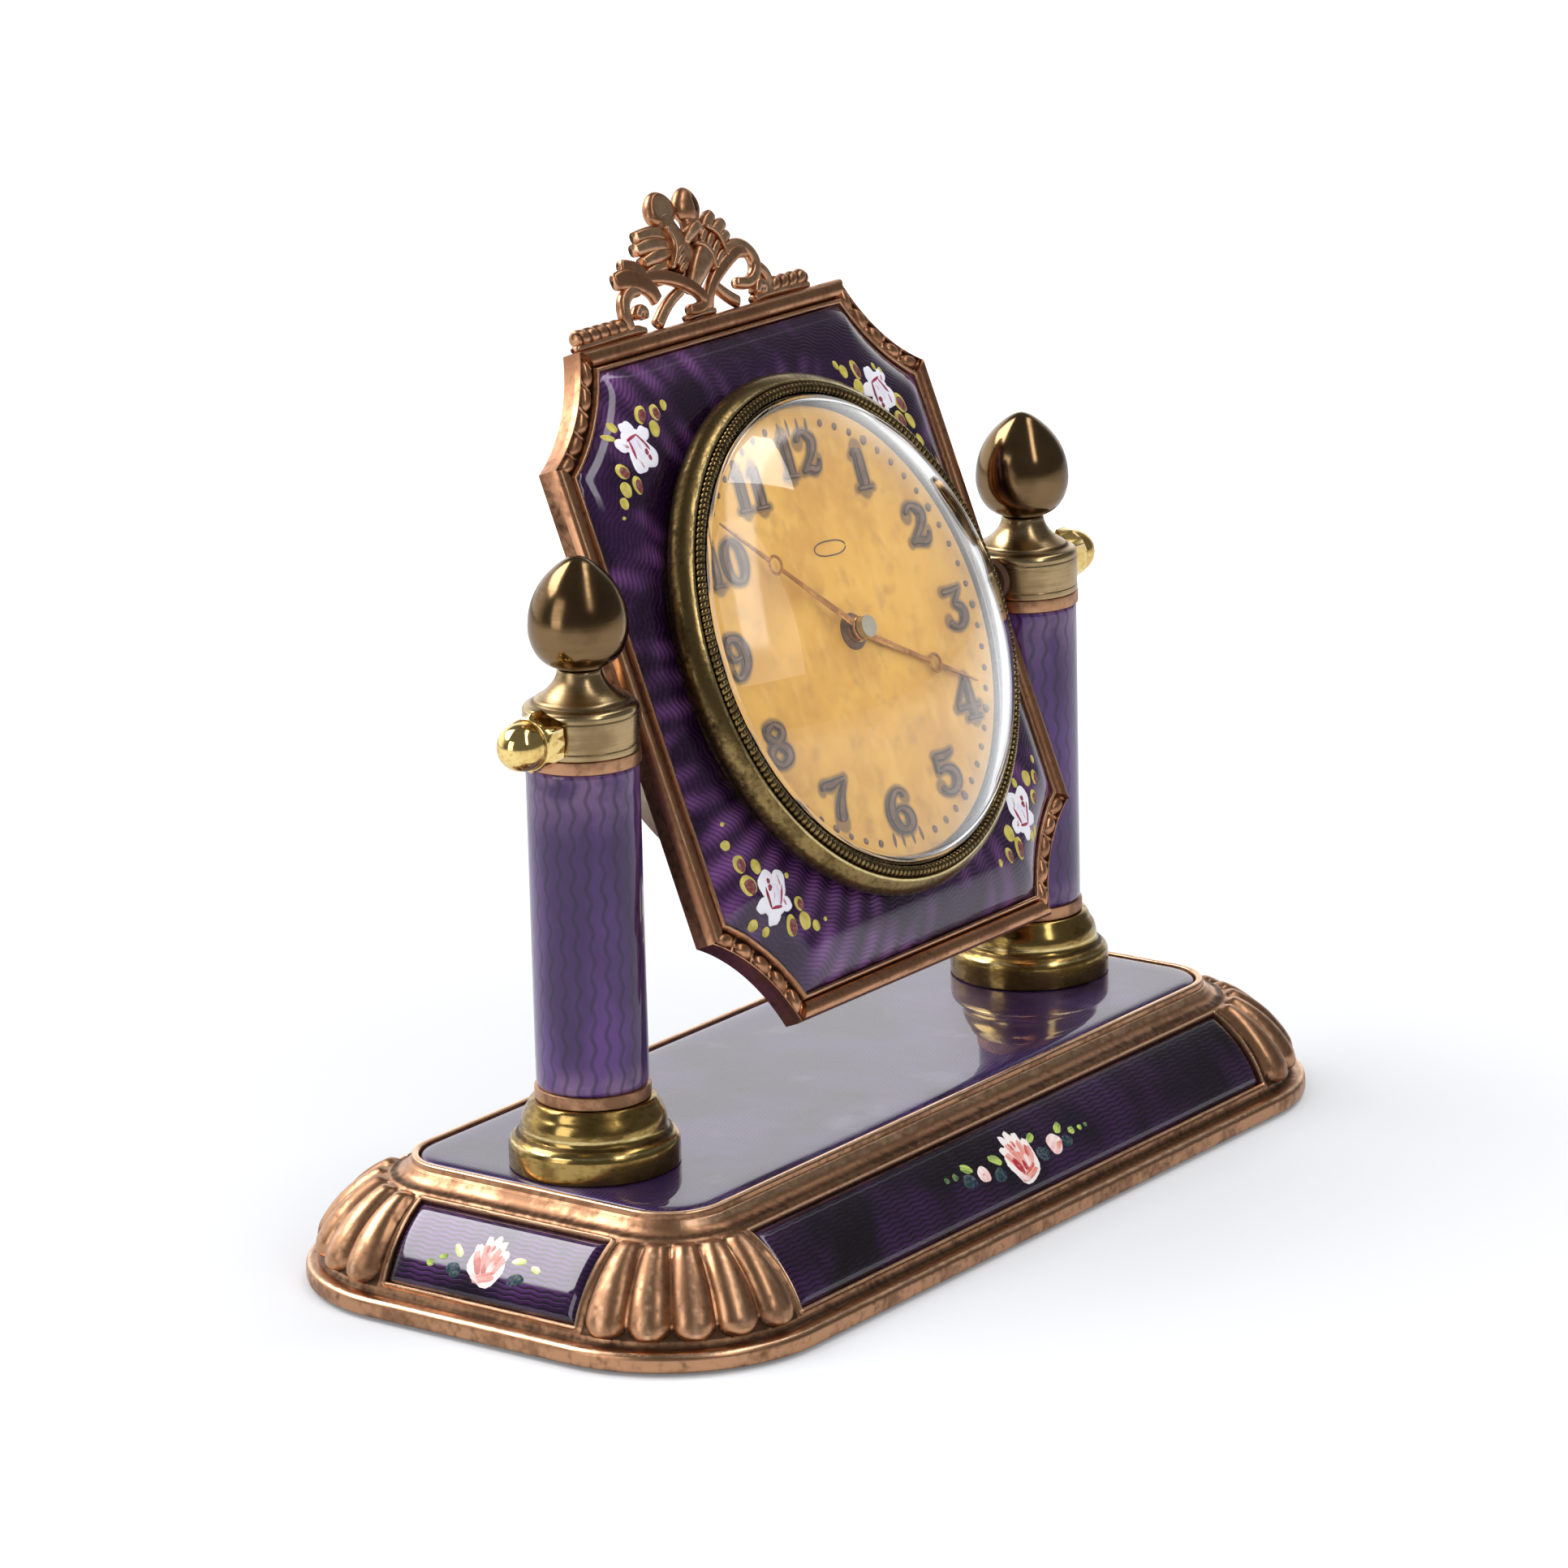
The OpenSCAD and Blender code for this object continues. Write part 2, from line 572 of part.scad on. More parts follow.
module pivots(r) {
  for (p = [third_at, fourth_at, esc_at, lev_at, bal_at]) translate([p[0], p[1], -20]) cylinder(h = 40, r = r);
}
module front_plate() {
  color(brass) on_head() difference() {
    union() {
      at_w(0) cylinder(h = 1, r = plate_r);
      at_w(0.5) translate([mw_at[0], mw_at[1], 0]) cylinder(h = 2.7, r = 0.5);
    }
    at_w(0) pivots(train_r + run_fit);
    at_w(-1) cylinder(h = 3, r = arbor_r + 0.06);
    at_w(-1) translate([bar_at[0], bar_at[1], 0]) cylinder(h = 3, r = 0.8 + run_fit);
    at_w(-1) for (i = [-1, 1]) translate([i * 19, 0, 0]) cylinder(h = 3, r = 0.65);
  }
}
module rear_plate() {
  color(brass) on_head() difference() {
    at_w(rear_w) cylinder(h = 1, r = plate_r);
    at_w(0) pivots(train_r + run_fit);
    at_w(rear_w - 1) cylinder(h = 3, r = arbor_r + 0.06);
    at_w(rear_w - 1) translate([bar_at[0], bar_at[1], 0]) cylinder(h = 3, r = 1.2 + run_fit);
  }
}
module pillars() {
  color(brass) on_head() at_w(rear_w + 1) for (i = [-1, 1], j = [-1, 1])
    translate([i * pillar_at, j * pillar_at, 0]) cylinder(h = -rear_w - 1, r = 1.4);
}

module hand_arbor() {
  color(steel) on_head() {
    at_w(-17.4) cylinder(h = 23.2, r = arbor_r);
    at_w(5.7) cylinder(h = 0.8, r = 1.2);
  }
}
module cannon_pinion() {
  color(steel) on_head() {
    at_w(1.2) ring(0.7, 1.4, arbor_r + 0.02);
    at_w(1.9) ring(3.75, 0.85, arbor_r + 0.02);
  }
}
module hand(len, boss, eye, at) {
  rotate([0, 0, -at]) linear_extrude(0.3) {
    polygon([[-0.36, 0], [0.36, 0], [0.22, eye - 0.8], [-0.22, eye - 0.8]]);
    translate([0, eye]) difference() { circle(1.05); circle(0.7); }
    polygon([[-0.3, eye + 0.95], [0.3, eye + 0.95], [0.06, len], [-0.06, len]]);
    circle(boss);
  }
}
module minute_hand() {
  color([0.85, 0.55, 0.38]) on_head() difference() {
    at_w(5.25) hand(minute_len, 1.6, 14, minute_at);
    at_w(0) cylinder(h = 8, r = 0.85 + 0.02);
  }
}
module hour_hand() {
  color([0.85, 0.55, 0.38]) on_head() difference() {
    at_w(4.5) hand(hour_len, 2, 12.2, hour_at);
    at_w(0) cylinder(h = 8, r = 1.35 + 0.02);
  }
}
module hour_wheel() {
  color(brass) on_head() {
    at_w(2.3) ring(0.5, 4.7, 0.85 + 0.1);
    at_w(2.3) ring(2.6, 1.35, 0.85 + 0.1);
  }
}
module minute_wheel() {
  color(brass) on_head() at_w(1.3) translate([mw_at[0], mw_at[1], 0]) {
    ring(0.5, 4.4, 0.5 + run_fit);
    ring(1.8, 1.1, 0.5 + run_fit);
  }
}
module setting_knob() {
  color(brass) on_head() at_w(-case_back_w - 4.2) difference() {
    union() {
      cylinder(h = 3, r = 2.6);
      translate([0, 0, 2.5]) cylinder(h = 0.8, r = 1.4);
    }
    translate([0, 0, -1]) cylinder(h = 7, r = arbor_r + 0.02);
    for (k = [0:11]) rotate([0, 0, 30 * k]) translate([2.6, 0, -1]) cylinder(h = 5, r = 0.25);
  }
}

// Going train. Wheels and pinions are plain discs kept just inside their pitch circles.
module arbor_of(p, r) {
  at_w(0) translate([p[0], p[1], 0]) {
    translate([0, 0, rear_w + 0.2]) cylinder(h = -rear_w + 0.4, r = train_r);
    translate([0, 0, rear_w + 1.1]) cylinder(h = -rear_w - 1.2, r = r);
  }
}
module disc_of(p, w, h, r) { at_w(w) translate([p[0], p[1], 0]) cylinder(h = h, r = r); }

module barrel() {
  color(brass) on_head() difference() {
    union() {
      disc_of(bar_at, -8.2, 4.4, 8.9);
      disc_of(bar_at, -4, 0.6, 9.5);
    }
    disc_of(bar_at, -12, 12, 1.2 + run_fit);
  }
}
module barrel_arbor() {
  color(steel) on_head() {
    disc_of(bar_at, -case_back_w - 4, case_back_w + 3.4, 1.2);
    disc_of(bar_at, -1, 1.8, 0.8);
  }
}
module winding_key() {
  color(brass) on_head() at_w(-case_back_w - 9) translate([bar_at[0], bar_at[1], 0]) difference() {
    union() {
      translate([0, 0, 4]) cylinder(h = 4, r = 2);
      translate([0.5, 0, 0]) rotate([0, -90, 0]) linear_extrude(1) {
        for (m = [-1, 1]) translate([3.2, m * 3.6]) difference() { circle(3.1); circle(1.2); }
        translate([2.2, -1]) square([3, 2]);
      }
    }
    translate([0, 0, 5]) cylinder(h = 5, r = 1.22);
  }
}
module centre_wheel() {
  color(brass) on_head() difference() {
    union() {
      at_w(-8.8) cylinder(h = 8.7, r = 0.95);
      at_w(-4.2) cylinder(h = 1, r = 1.1);
      at_w(-1.6) cylinder(h = 0.5, r = 7);
    }
    at_w(-12) cylinder(h = 14, r = arbor_r + run_fit);
  }
}
module third_wheel() {
  color(brass) on_head() { arbor_of(third_at, 0.55); disc_of(third_at, -1.8, 0.9, 0.8); disc_of(third_at, -5.6, 0.5, 6); }
}
module fourth_wheel() {
  color(brass) on_head() { arbor_of(fourth_at, 0.5); disc_of(fourth_at, -5.9, 1.1, 0.75); disc_of(fourth_at, -7.6, 0.5, 5.1); }
}
module escape_wheel() {
  color(steel) on_head() { arbor_of(esc_at, 0.45); disc_of(esc_at, -7.9, 1.1, 0.6); disc_of(esc_at, -3.6, 0.4, 3.6); }
}
module pallet_lever() {
  color(steel) on_head() {
    arbor_of(lev_at, 0.45);
    at_w(-3.6) translate([lev_at[0], lev_at[1], 0]) linear_extrude(0.4) {
      rotate([0, 0, -10]) {
        square([5, 0.8], center = true);
        for (m = [-1, 1]) translate([m * 2.2 - 0.3, 0]) square([0.6, 1.1]);
      }
      rotate([0, 0, 213.3]) translate([0, -0.35]) square([8, 0.7]);
    }
  }
}
module balance_wheel() {
  color(gilt) on_head() {
    arbor_of(bal_at, 0.5);
    disc_of(bal_at, -4.4, 0.4, 1.2);
    at_w(-7.9) translate([bal_at[0], bal_at[1], 0]) {
      ring(0.7, 6.5, 5.7);
      translate([-6, -0.5, 0.1]) cube([12, 1, 0.5]);
    }
  }
}

base_frame();
base_top_enamel();
enamel_front();
enamel_back();
enamel_left();
enamel_right();
base_cover();
base_felt();
cover_screws();
foot_left();
foot_right();
lower_ferrule_left();
lower_ferrule_right();
sleeve_left();
sleeve_right();
upper_ferrule_left();
upper_ferrule_right();
cap_left();
cap_right();
finial_left();
finial_right();
tie_rods();
tie_nuts();
tie_washers();
pivot_screws();
dome_nuts();
friction_washers();
plaque_frame();
crest();
plaque_enamel();
back_plate();
retaining_ring();
bezel();
crystal();
dial();
movement_case();
case_back();
front_plate();
rear_plate();
pillars();
hand_arbor();
cannon_pinion();
minute_hand();
minute_wheel();
hour_wheel();
hour_hand();
setting_knob();
barrel();
barrel_arbor();
winding_key();
centre_wheel();
third_wheel();
fourth_wheel();
escape_wheel();
pallet_lever();
balance_wheel();
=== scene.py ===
"""Table clock. An enamelled copper base carries two turned posts, and between them swings an eight-sided
enamelled head with a watch movement behind a domed glass. Lengths are in millimetres until piece() sets them."""
import math

import bmesh
import bpy
import numpy as np
from mathutils import Matrix


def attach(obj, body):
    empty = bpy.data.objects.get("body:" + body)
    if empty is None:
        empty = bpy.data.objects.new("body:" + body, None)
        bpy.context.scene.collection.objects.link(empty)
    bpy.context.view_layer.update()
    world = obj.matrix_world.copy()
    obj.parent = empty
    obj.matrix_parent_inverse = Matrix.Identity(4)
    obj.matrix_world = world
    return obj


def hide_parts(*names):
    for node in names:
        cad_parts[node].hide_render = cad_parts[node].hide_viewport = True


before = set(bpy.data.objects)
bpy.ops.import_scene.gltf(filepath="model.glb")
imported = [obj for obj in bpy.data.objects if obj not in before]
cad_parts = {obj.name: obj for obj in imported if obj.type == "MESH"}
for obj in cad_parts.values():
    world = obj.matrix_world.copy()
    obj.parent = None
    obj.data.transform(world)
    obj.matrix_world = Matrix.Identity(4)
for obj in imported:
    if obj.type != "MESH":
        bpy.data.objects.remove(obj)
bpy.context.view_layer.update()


# ---------------------------------------------------------------------------------------------------------------
# Base frame. A pressed copper casing: upright rim band, bulging flank with a shell fan of five fat drops at each
# rounded corner, a hollow cove and the edge of the top. It is brown with age, dark in its hollows and rubbed bright
# on its edges, with a painted highlight on the front of the cove and painted shade along the foot of the rim. Four
# windows in the flank and the well in the top hold the enamelled plates.
def tint(r, g, b):
    """The shader's linear colour for a colour as it shows on a screen, 0 to 255."""
    c = np.array([r, g, b]) / 255
    return (*np.where(c <= 0.04045, c / 12.92, ((c + 0.055) / 1.055) ** 2.4).tolist(), 1.0)


class Wire:
    """An output socket of a tree of nodes. Arithmetic written on it becomes Math nodes."""

    def __init__(self, nodes, socket):
        self.nodes, self.socket = nodes, socket

    def sum(self, operation, *values, clamp=False):
        return self.nodes.node("Math", {"operation": operation, "use_clamp": clamp}, dict(enumerate(values)))

    def __add__(self, other): return self.sum("ADD", self, other)
    def __radd__(self, other): return self.sum("ADD", other, self)
    def __sub__(self, other): return self.sum("SUBTRACT", self, other)
    def __rsub__(self, other): return self.sum("SUBTRACT", other, self)
    def __mul__(self, other): return self.sum("MULTIPLY", self, other)
    def __rmul__(self, other): return self.sum("MULTIPLY", other, self)
    def __pow__(self, other): return self.sum("POWER", self, other)
    def clip(self): return self.sum("ADD", self, 0.0, clamp=True)
    def sin(self): return self.sum("SINE", self)


class Nodes:
    """The tree of nodes of a material or a world. Everything varying in it is worked out with node()."""

    def __init__(self, owner, end):
        owner.use_nodes = True
        self.tree = owner.node_tree
        self.tree.nodes.clear()
        self.end = self.tree.nodes.new("ShaderNodeOutput" + end)

    def feed(self, node, key, value):
        if isinstance(value, Wire):
            self.tree.links.new(value.socket, node.inputs[key])
        else:
            node.inputs[key].default_value = value

    def node(self, kind, settings={}, sockets={}, output=0):
        """Adds a node with its settings and what goes into its sockets, and hands back one of its outputs."""
        node = self.tree.nodes.new("ShaderNode" + kind)
        for key, value in settings.items():
            setattr(node, key, value)
        for key, value in sockets.items():
            self.feed(node, key, value)
        return Wire(self, node.outputs[output])

    def spot(self):
        return self.node("TexCoord", output="Object")

    def ray(self, kind):
        return self.node("LightPath", output=f"Is {kind} Ray")

    def axes(self, vector):
        return [self.node("SeparateXYZ", {}, {0: vector}, output=k) for k in range(3)]

    def ease(self, value, low, high, start=0.0, end=1.0):
        """Smooth step of a value from low to high."""
        return self.node("MapRange", {"interpolation_type": "SMOOTHSTEP"},
                         {"Value": value, 1: low, 2: high, 3: start, 4: end})


class Finish(Nodes):
    """A material round one Principled shader."""

    def __init__(self, name, sockets):
        self.material = bpy.data.materials.new(name)
        super().__init__(self.material, "Material")
        self.shader = self.tree.nodes.new("ShaderNodeBsdfPrincipled")
        self.tree.links.new(self.shader.outputs[0], self.end.inputs[0])
        self.give(sockets)

    def give(self, sockets):
        for key, value in sockets.items():
            self.feed(self.shader, key, value)

    def noise(self, size, detail=3.0, stretch=(1, 1, 1), rough=0.5, turn=(0, 0, 0)):
        """Soft noise of 0 to 1 whose lumps are about size millimetres across, drawn out along an axis by stretch."""
        place = self.node("Mapping", {}, {"Vector": self.spot(), "Rotation": turn, "Scale": [1 / s for s in stretch]})
        return self.node("TexNoise", {}, {"Vector": place, "Scale": 1000 / size, "Detail": detail, "Roughness": rough})

    def blend(self, part, one, other):
        """Colour one turning to the other as part goes from 0 to 1."""
        return self.node("Mix", {"data_type": "RGBA"}, {0: part, 6: one, 7: other}, output=2)

    def mark(self, name, output=2):
        """A value worked out on the mesh: 2 for a number, 1 for a vector, 0 for a colour."""
        return self.node("Attribute", {"attribute_name": name}, output=output)

    def raise_by(self, height, depth):
        """Bump of a height of 0 to 1 that stands depth millimetres high."""
        return self.node("Bump", {}, {"Height": height, "Distance": depth / 1000})


def aged_metal(name, ground, cloud, deep, worn, rough, patch, pits, grain=(1, 1, 1), fleck=0.35):
    """Old metal. Its colour drifts from ground to cloud in patches and turns to deep where the mesh is marked dark:
    oxide in hollows and, in places, painted shade. It turns to its rubbed colour where it is marked rubbed: wear,
    and in places a painted highlight. Dull film and fine pits follow the same noise."""
    m = Finish(name, {"Metallic": 1.0})
    ground, cloud, deep, worn = (tint(*colour) for colour in (ground, cloud, deep, worn))
    drift, fine = m.noise(patch, 4.0), m.noise(patch / 7, 4.0, grain)
    dark, rub_and_highlight = m.mark("dark"), m.mark("worn")
    film = m.ease(drift + (fine - 0.5) * (fleck * 1.4), 0.40, 0.66)
    # dark mark: oxide in hollows, and painted shade where a piece marks it so
    oxide_and_shade = (m.ease(dark + (fine - 0.5) * 0.5 * m.ease(dark, 0.0, 0.3), 0.25, 0.9)).clip()
    # rubbed mark: wear on edges, and painted highlights where a piece marks it so
    shine = m.ease(rub_and_highlight + (fine - 0.5) * 0.7, 0.40, 0.85)
    colour = m.blend(film, ground, cloud)
    colour = m.blend(m.ease(fine, 0.55, 0.75) * fleck, colour, deep)
    colour = m.blend(shine, colour, worn)
    colour = m.blend(oxide_and_shade * 0.92, colour, deep)
    roughness = rough[0] + film * (rough[1] - rough[0]) + oxide_and_shade * 0.25 - shine * 0.06
    m.give({"Base Color": colour, "Roughness": roughness.clip(),
            "Normal": m.raise_by(m.noise(0.5, 3.0, grain), pits)})
    return m


def circle(steps):
    """Angles once round, the last step short of the first."""
    return np.linspace(0, 2 * math.pi, steps + 1)[:-1]


def cos_sin(degrees):
    return math.cos(math.radians(degrees)), math.sin(math.radians(degrees))


def hump(x, middle, width):
    """A soft bell of height one."""
    return np.exp(-((x - middle) / width) ** 2)


def soft_step(x, low, high):
    t = np.clip((np.asarray(x, float) - low) / (high - low), 0, 1)
    return t * t * (3 - 2 * t)


def rounded(points, times=2):
    """A line of points with its corners cut a quarter in from both sides, times over; its two ends stay."""
    p = np.asarray(points, float)
    for _ in range(times):
        a, b = p[:-1], p[1:]
        cut = np.stack([a * 0.75 + b * 0.25, a * 0.25 + b * 0.75], 1).reshape(-1, p.shape[1])
        p = np.vstack([p[:1], cut, p[-1:]])
    return p


def sheet(points, around=(False, False), **marks):
    """A grid of points, closed on itself in the first or second direction, with its marks."""
    return {"points": np.asarray(points, float), "around": around, "marks": marks}


def shut(row):
    """A row of points drawn together in their middle, to close the end of a tube."""
    return np.repeat(row.mean(1, keepdims=True), row.shape[1], 1)


def tube(grid, **marks):
    """A grid of rings closed at both ends. Marks follow the rings."""
    marks = {key: np.concatenate([value[:1], value, value[-1:]]) for key, value in marks.items()}
    return sheet(np.concatenate([shut(grid[:1]), grid, shut(grid[-1:])]), (False, True), **marks)


def piece(name, sheets, finish, body, replaces, crease):
    """Joins grids into one mesh: four neighbours make a face, and points in one place become one. Lengths turn from
    millimetres to metres here."""
    widths = {}
    for s in sheets:
        for key, value in s["marks"].items():
            widths[key] = np.shape(value)[-1] if np.ndim(value) > 2 else 1
    points, faces, marks, start = [], [], {key: [] for key in widths}, 0
    for s in sheets:
        n, m = s["points"].shape[:2]
        rows, cols = np.arange(n if s["around"][0] else n - 1), np.arange(m if s["around"][1] else m - 1)
        i, j = np.meshgrid(rows, cols, indexing="ij")
        i2, j2 = (i + 1) % n, (j + 1) % m
        faces.append(start + np.stack([i * m + j, i2 * m + j, i2 * m + j2, i * m + j2], -1).reshape(-1, 4))
        points.append(s["points"].reshape(-1, 3) / 1000)
        for key, width in widths.items():
            shape = (n, m) if width == 1 else (n, m, width)
            value = s["marks"].get(key, np.zeros(shape))
            marks[key].append(np.broadcast_to(value, shape).reshape(n * m, -1))
        start += n * m
    mesh = bpy.data.meshes.new(name)
    mesh.from_pydata(np.vstack(points), [], np.vstack(faces))
    for key, width in widths.items():
        kind, field = {1: ("FLOAT", "value"), 3: ("FLOAT_VECTOR", "vector"), 4: ("FLOAT_COLOR", "color")}[width]
        mesh.attributes.new(key, kind, "POINT").data.foreach_set(field, np.vstack(marks[key]).ravel())
    bm = bmesh.new()
    bm.from_mesh(mesh)
    bmesh.ops.remove_doubles(bm, verts=bm.verts, dist=2e-6)
    bmesh.ops.dissolve_degenerate(bm, edges=bm.edges, dist=1e-7)
    bmesh.ops.recalc_face_normals(bm, faces=bm.faces)
    bm.to_mesh(mesh)
    bm.free()
    mesh.polygons.foreach_set("use_smooth", np.ones(len(mesh.polygons), bool))
    mesh.set_sharp_from_angle(angle=math.radians(crease))
    mesh.materials.append(finish.material)
    thing = bpy.data.objects.new(name, mesh)
    bpy.context.collection.objects.link(thing)
    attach(thing, body)
    if replaces:
        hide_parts(*replaces)


base_half = np.array([62.0, 30.8])      # rim at the table
straight = base_half - 18.0             # corner centres stand here
foot_in, top_in = 16.0, 9.0             # flank foot and flank head, out from the corner centre
foot_z, head_z, flank_bow = 3.2, 11.1, 1.1
deck_z = 12.6                           # floor of the well in the top
flank_len = math.hypot(foot_in - top_in, head_z - foot_z)
flank_r = flank_len ** 2 / (8 * flank_bow) + flank_bow / 2
flank_out = np.array([head_z - foot_z, foot_in - top_in]) / flank_len
flank_c = np.array([foot_in + top_in, foot_z + head_z]) / 2 - (flank_r - flank_bow) * flank_out
flank_a0 = math.atan2(foot_z - flank_c[1], foot_in - flank_c[0])
flank_a1 = math.atan2(head_z - flank_c[1], top_in - flank_c[0])
flank_arc = flank_r * (flank_a1 - flank_a0)
window_end = 0.55                       # a window starts this far from a corner
window_edge = flank_r * math.radians(2.6)    # and this far up the arc from the flank's ends
window_deep, fillet_off, fillet_high = 0.72, 0.22, 0.24
plate_sunk = 0.03                       # enamel under the flank's arc
drops, drop_pitch, first_drop = 5, 17.0, 2.5     # of the shell fan, in degrees round a corner


def base_round(half, corner_steps=90, fine=True):
    """Places round a rectangle of the given half sizes and the way out at each: four straights, whose steps are
    close at their ends, joined by quarter turns. Also the distance along each straight and its length, and the
    angle in each turn, which is -1 on a straight."""
    near = np.array([0, 0.12, 0.24, 0.34, 0.43, 0.5, 0.548, 0.556, 0.62, 0.8, 1.3, 2.2])
    rows = []
    for k in range(4):
        long, short = half[1 - k % 2], half[k % 2]
        run = np.linspace(0, 2 * long, 9)
        if fine:
            middle = np.linspace(2.2, 2 * long - 2.2, int(long / 1.2) + 4)
            run = np.unique(np.concatenate([near, middle, 2 * long - near]))
        a = np.linspace(0, math.pi / 2, corner_steps + 1)[:-1]
        along = [short + 0 * run, run - long, 1 + 0 * run, 0 * run, run, 2 * long + 0 * run, -1 + 0 * run]
        bend = [short + 0 * a, long + 0 * a, np.cos(a), np.sin(a), 0 * a, 0 * a, np.degrees(a)]
        both = np.vstack([np.stack(along, 1)[:-1], np.stack(bend, 1)])
        c, s = cos_sin(90 * k)
        x, y, nx, ny = both[:, :4].T
        rows.append(np.column_stack([x * c - y * s, x * s + y * c, nx * c - ny * s, nx * s + ny * c, both[:, 4:]]))
    return np.vstack(rows)


def corner_drops(angle, t):
    """Height of the shell fan over the flank at a corner angle in degrees and a share t of the way up. Its drops are
    round in section, fat and round at the foot and narrow at the head, with a thin fin between neighbours. Also how
    deep in a hollow a point lies and how near a crest."""
    place = (angle - first_drop) / drop_pitch
    inside = (place > 0) & (place < drops)
    s = 2 * (place - np.floor(place)) - 1
    to_fin = 1 - np.abs(s)
    foot = np.sqrt(np.clip(1 - (1 - np.clip((t + 0.012) / 0.17, 0, 1)) ** 2, 0, 1))
    wide = (0.10 + 0.89 * foot) * (1 - 0.12 * soft_step(t, 0.4, 1.0))
    tall = (1.7 - 0.8 * t) * (0.25 + 0.75 * foot) * (1 - soft_step(t, 0.90, 1.0))
    drop = tall * np.clip(1 - np.abs(s / np.maximum(wide, 1e-3)) ** 2.3, 0, 1) ** 0.62
    fin = (0.22 + 0.25 * t) * hump(to_fin, 0, 0.07) * soft_step(t, 0.10, 0.3) * (1 - soft_step(t, 0.88, 0.98))
    sunk = -0.2 * soft_step(t, 0.0, 0.08) * (1 - soft_step(t, 0.9, 1.0))
    rim = soft_step(place, -0.16, 0.0) * (1 - soft_step(place, drops, drops + 0.16))
    height = np.where(inside, np.maximum(drop, fin) + sunk, sunk * rim)
    hollow = np.where(inside, 1 - np.clip(np.maximum(drop / 0.55, fin / 0.25), 0, 1), rim)
    top = np.clip((drop / np.maximum(tall, 0.1) - 0.93) / 0.07, 0, 1) * 0.55
    crest = np.where(inside, np.maximum(top, (fin > 0.3) * 0.9), 0)
    return height, hollow * (1 - soft_step(t, 0.94, 1.0)), crest


def base_casing():
    """The wall section carried round the base. On the flank each point stands off along the flank's own outward
    direction by the height of the drops, the fillet round a window, or the depth of a window."""
    path = base_round(straight)
    near = window_edge + np.array([-0.5, -0.38, -0.27, -0.17, -0.08, -0.004, 0.004, 0.12, 0.4])
    near = near[near > 0]
    middle = np.linspace(window_edge + 0.8, flank_arc - window_edge - 0.8, 30)
    up = np.unique(np.concatenate([[0, 0.06], near, middle, flank_arc - near, [flank_arc - 0.06, flank_arc]]))
    a = flank_a0 + up / flank_r
    out = np.stack([np.cos(a), np.sin(a)], 1)
    flank = np.stack([flank_c[0] + flank_r * out[:, 0], flank_c[1] + flank_r * out[:, 1]], 1)
    rim = rounded([[16.2, 0.9], [17.2, 0.42], [17.75, 0.4], [18.0, 0.62], [18.0, 1.35], [17.98, 1.95], [17.7, 2.3],
                   [17.3, 2.42], [16.75, 2.44], [16.45, 2.38], [16.2, 2.55], [16.02, 3.0]])
    cove = rounded([[8.93, 11.22], [8.75, 11.42], [8.1, 11.5], [7.4, 11.85], [6.95, 12.45], [6.85, 12.62],
                    [6.6, 12.7], [6.6, 13.2], [6.42, 13.4], [6.05, 13.42], [5.8, 13.33], [5.72, 12.6], [5.72, 11.4],
                    [9.0, 8.2]])
    line = np.vstack([rim, flank, cove])
    on_flank = slice(len(rim), len(rim) + len(flank))
    x, y, nx, ny, run, length, angle = path.T
    lift = np.zeros((len(flank), len(path)))
    dark = np.zeros((len(line), len(path)))
    worn = np.zeros_like(dark)
    bend = angle >= 0
    lift[:, bend], dark[on_flank, bend], worn[on_flank, bend] = corner_drops(angle[None, bend],
                                                                             (up / flank_arc)[:, None])
    # how far outside a window a point of a straight lies, below zero inside
    q = np.minimum(run, length - run)[None, ~bend] - window_end
    v = np.minimum(up, flank_arc - up)[:, None] - window_edge
    away = np.where((q < 0) & (v < 0), np.hypot(q, v), -np.minimum(q, v))
    lift[:, ~bend] = np.where(away < 0, -window_deep, fillet_high * hump(away, fillet_off, 0.17))
    dark[on_flank, ~bend] = np.where(away < 0, 1.0, 0.55 * soft_step(away, 0.42, 0.62))
    worn[on_flank, ~bend] = hump(away, 0.2, 0.16)
    section = np.repeat(line[:, None, :], len(path), 1)
    section[on_flank] += out[:, None, :] * lift[..., None]
    rho, z = section[..., 0], section[..., 1]
    # bright along the rim's shoulder and the top edge, where rubbed, and on the front side on the cove's face, a
    # painted highlight; dark in the groove above the rim and at the flank's head; painted shade along the rim's foot
    lr, lz = line[:, :1], line[:, 1:]
    for value in (0.75 * hump(lz, 2.25, 0.22) * (lr > 17.2), hump(lz, 13.38, 0.12) * (lr > 5.75),
                  0.7 * soft_step(lz, 11.5, 12.3) * (lz < 12.66) * (ny[None] < -0.7)):
        worn = np.maximum(worn, value)
    for value in (0.9 * hump(lr, 16.3, 0.3) * (lz > 2) * (lz < 3.4), 0.8 * hump(lz, 11.42, 0.2),
                  0.5 * hump(lz, 0.4, 0.35)):
        dark = np.maximum(dark, value)
    return sheet(np.stack([x + rho * nx, y + rho * ny, z], -1), (True, True), dark=dark, worn=worn)


def rounded_slab(half, corner, low, heights):
    """A plate with rounded corners. Its top is given as pairs of inset and height, its underside is flat."""
    x, y, nx, ny = base_round(half - corner, 48, False)[:, :4].T
    line = np.array([(corner - heights[0][0], low)] + [(corner - inset, z) for inset, z in heights])
    ring = np.stack([x + line[:, :1] * nx, y + line[:, :1] * ny, np.repeat(line[:, 1:], len(x), 1)], -1)
    shrink = np.array([0.66, 0.33, 0.0])[:, None, None]
    top = ring[-1:] * [1, 1, 0] * shrink + [0, 0, heights[-1][1]]
    under = ring[:1] * [1, 1, 0] * shrink[::-1] + [0, 0, low]
    return np.concatenate([under, ring, top])


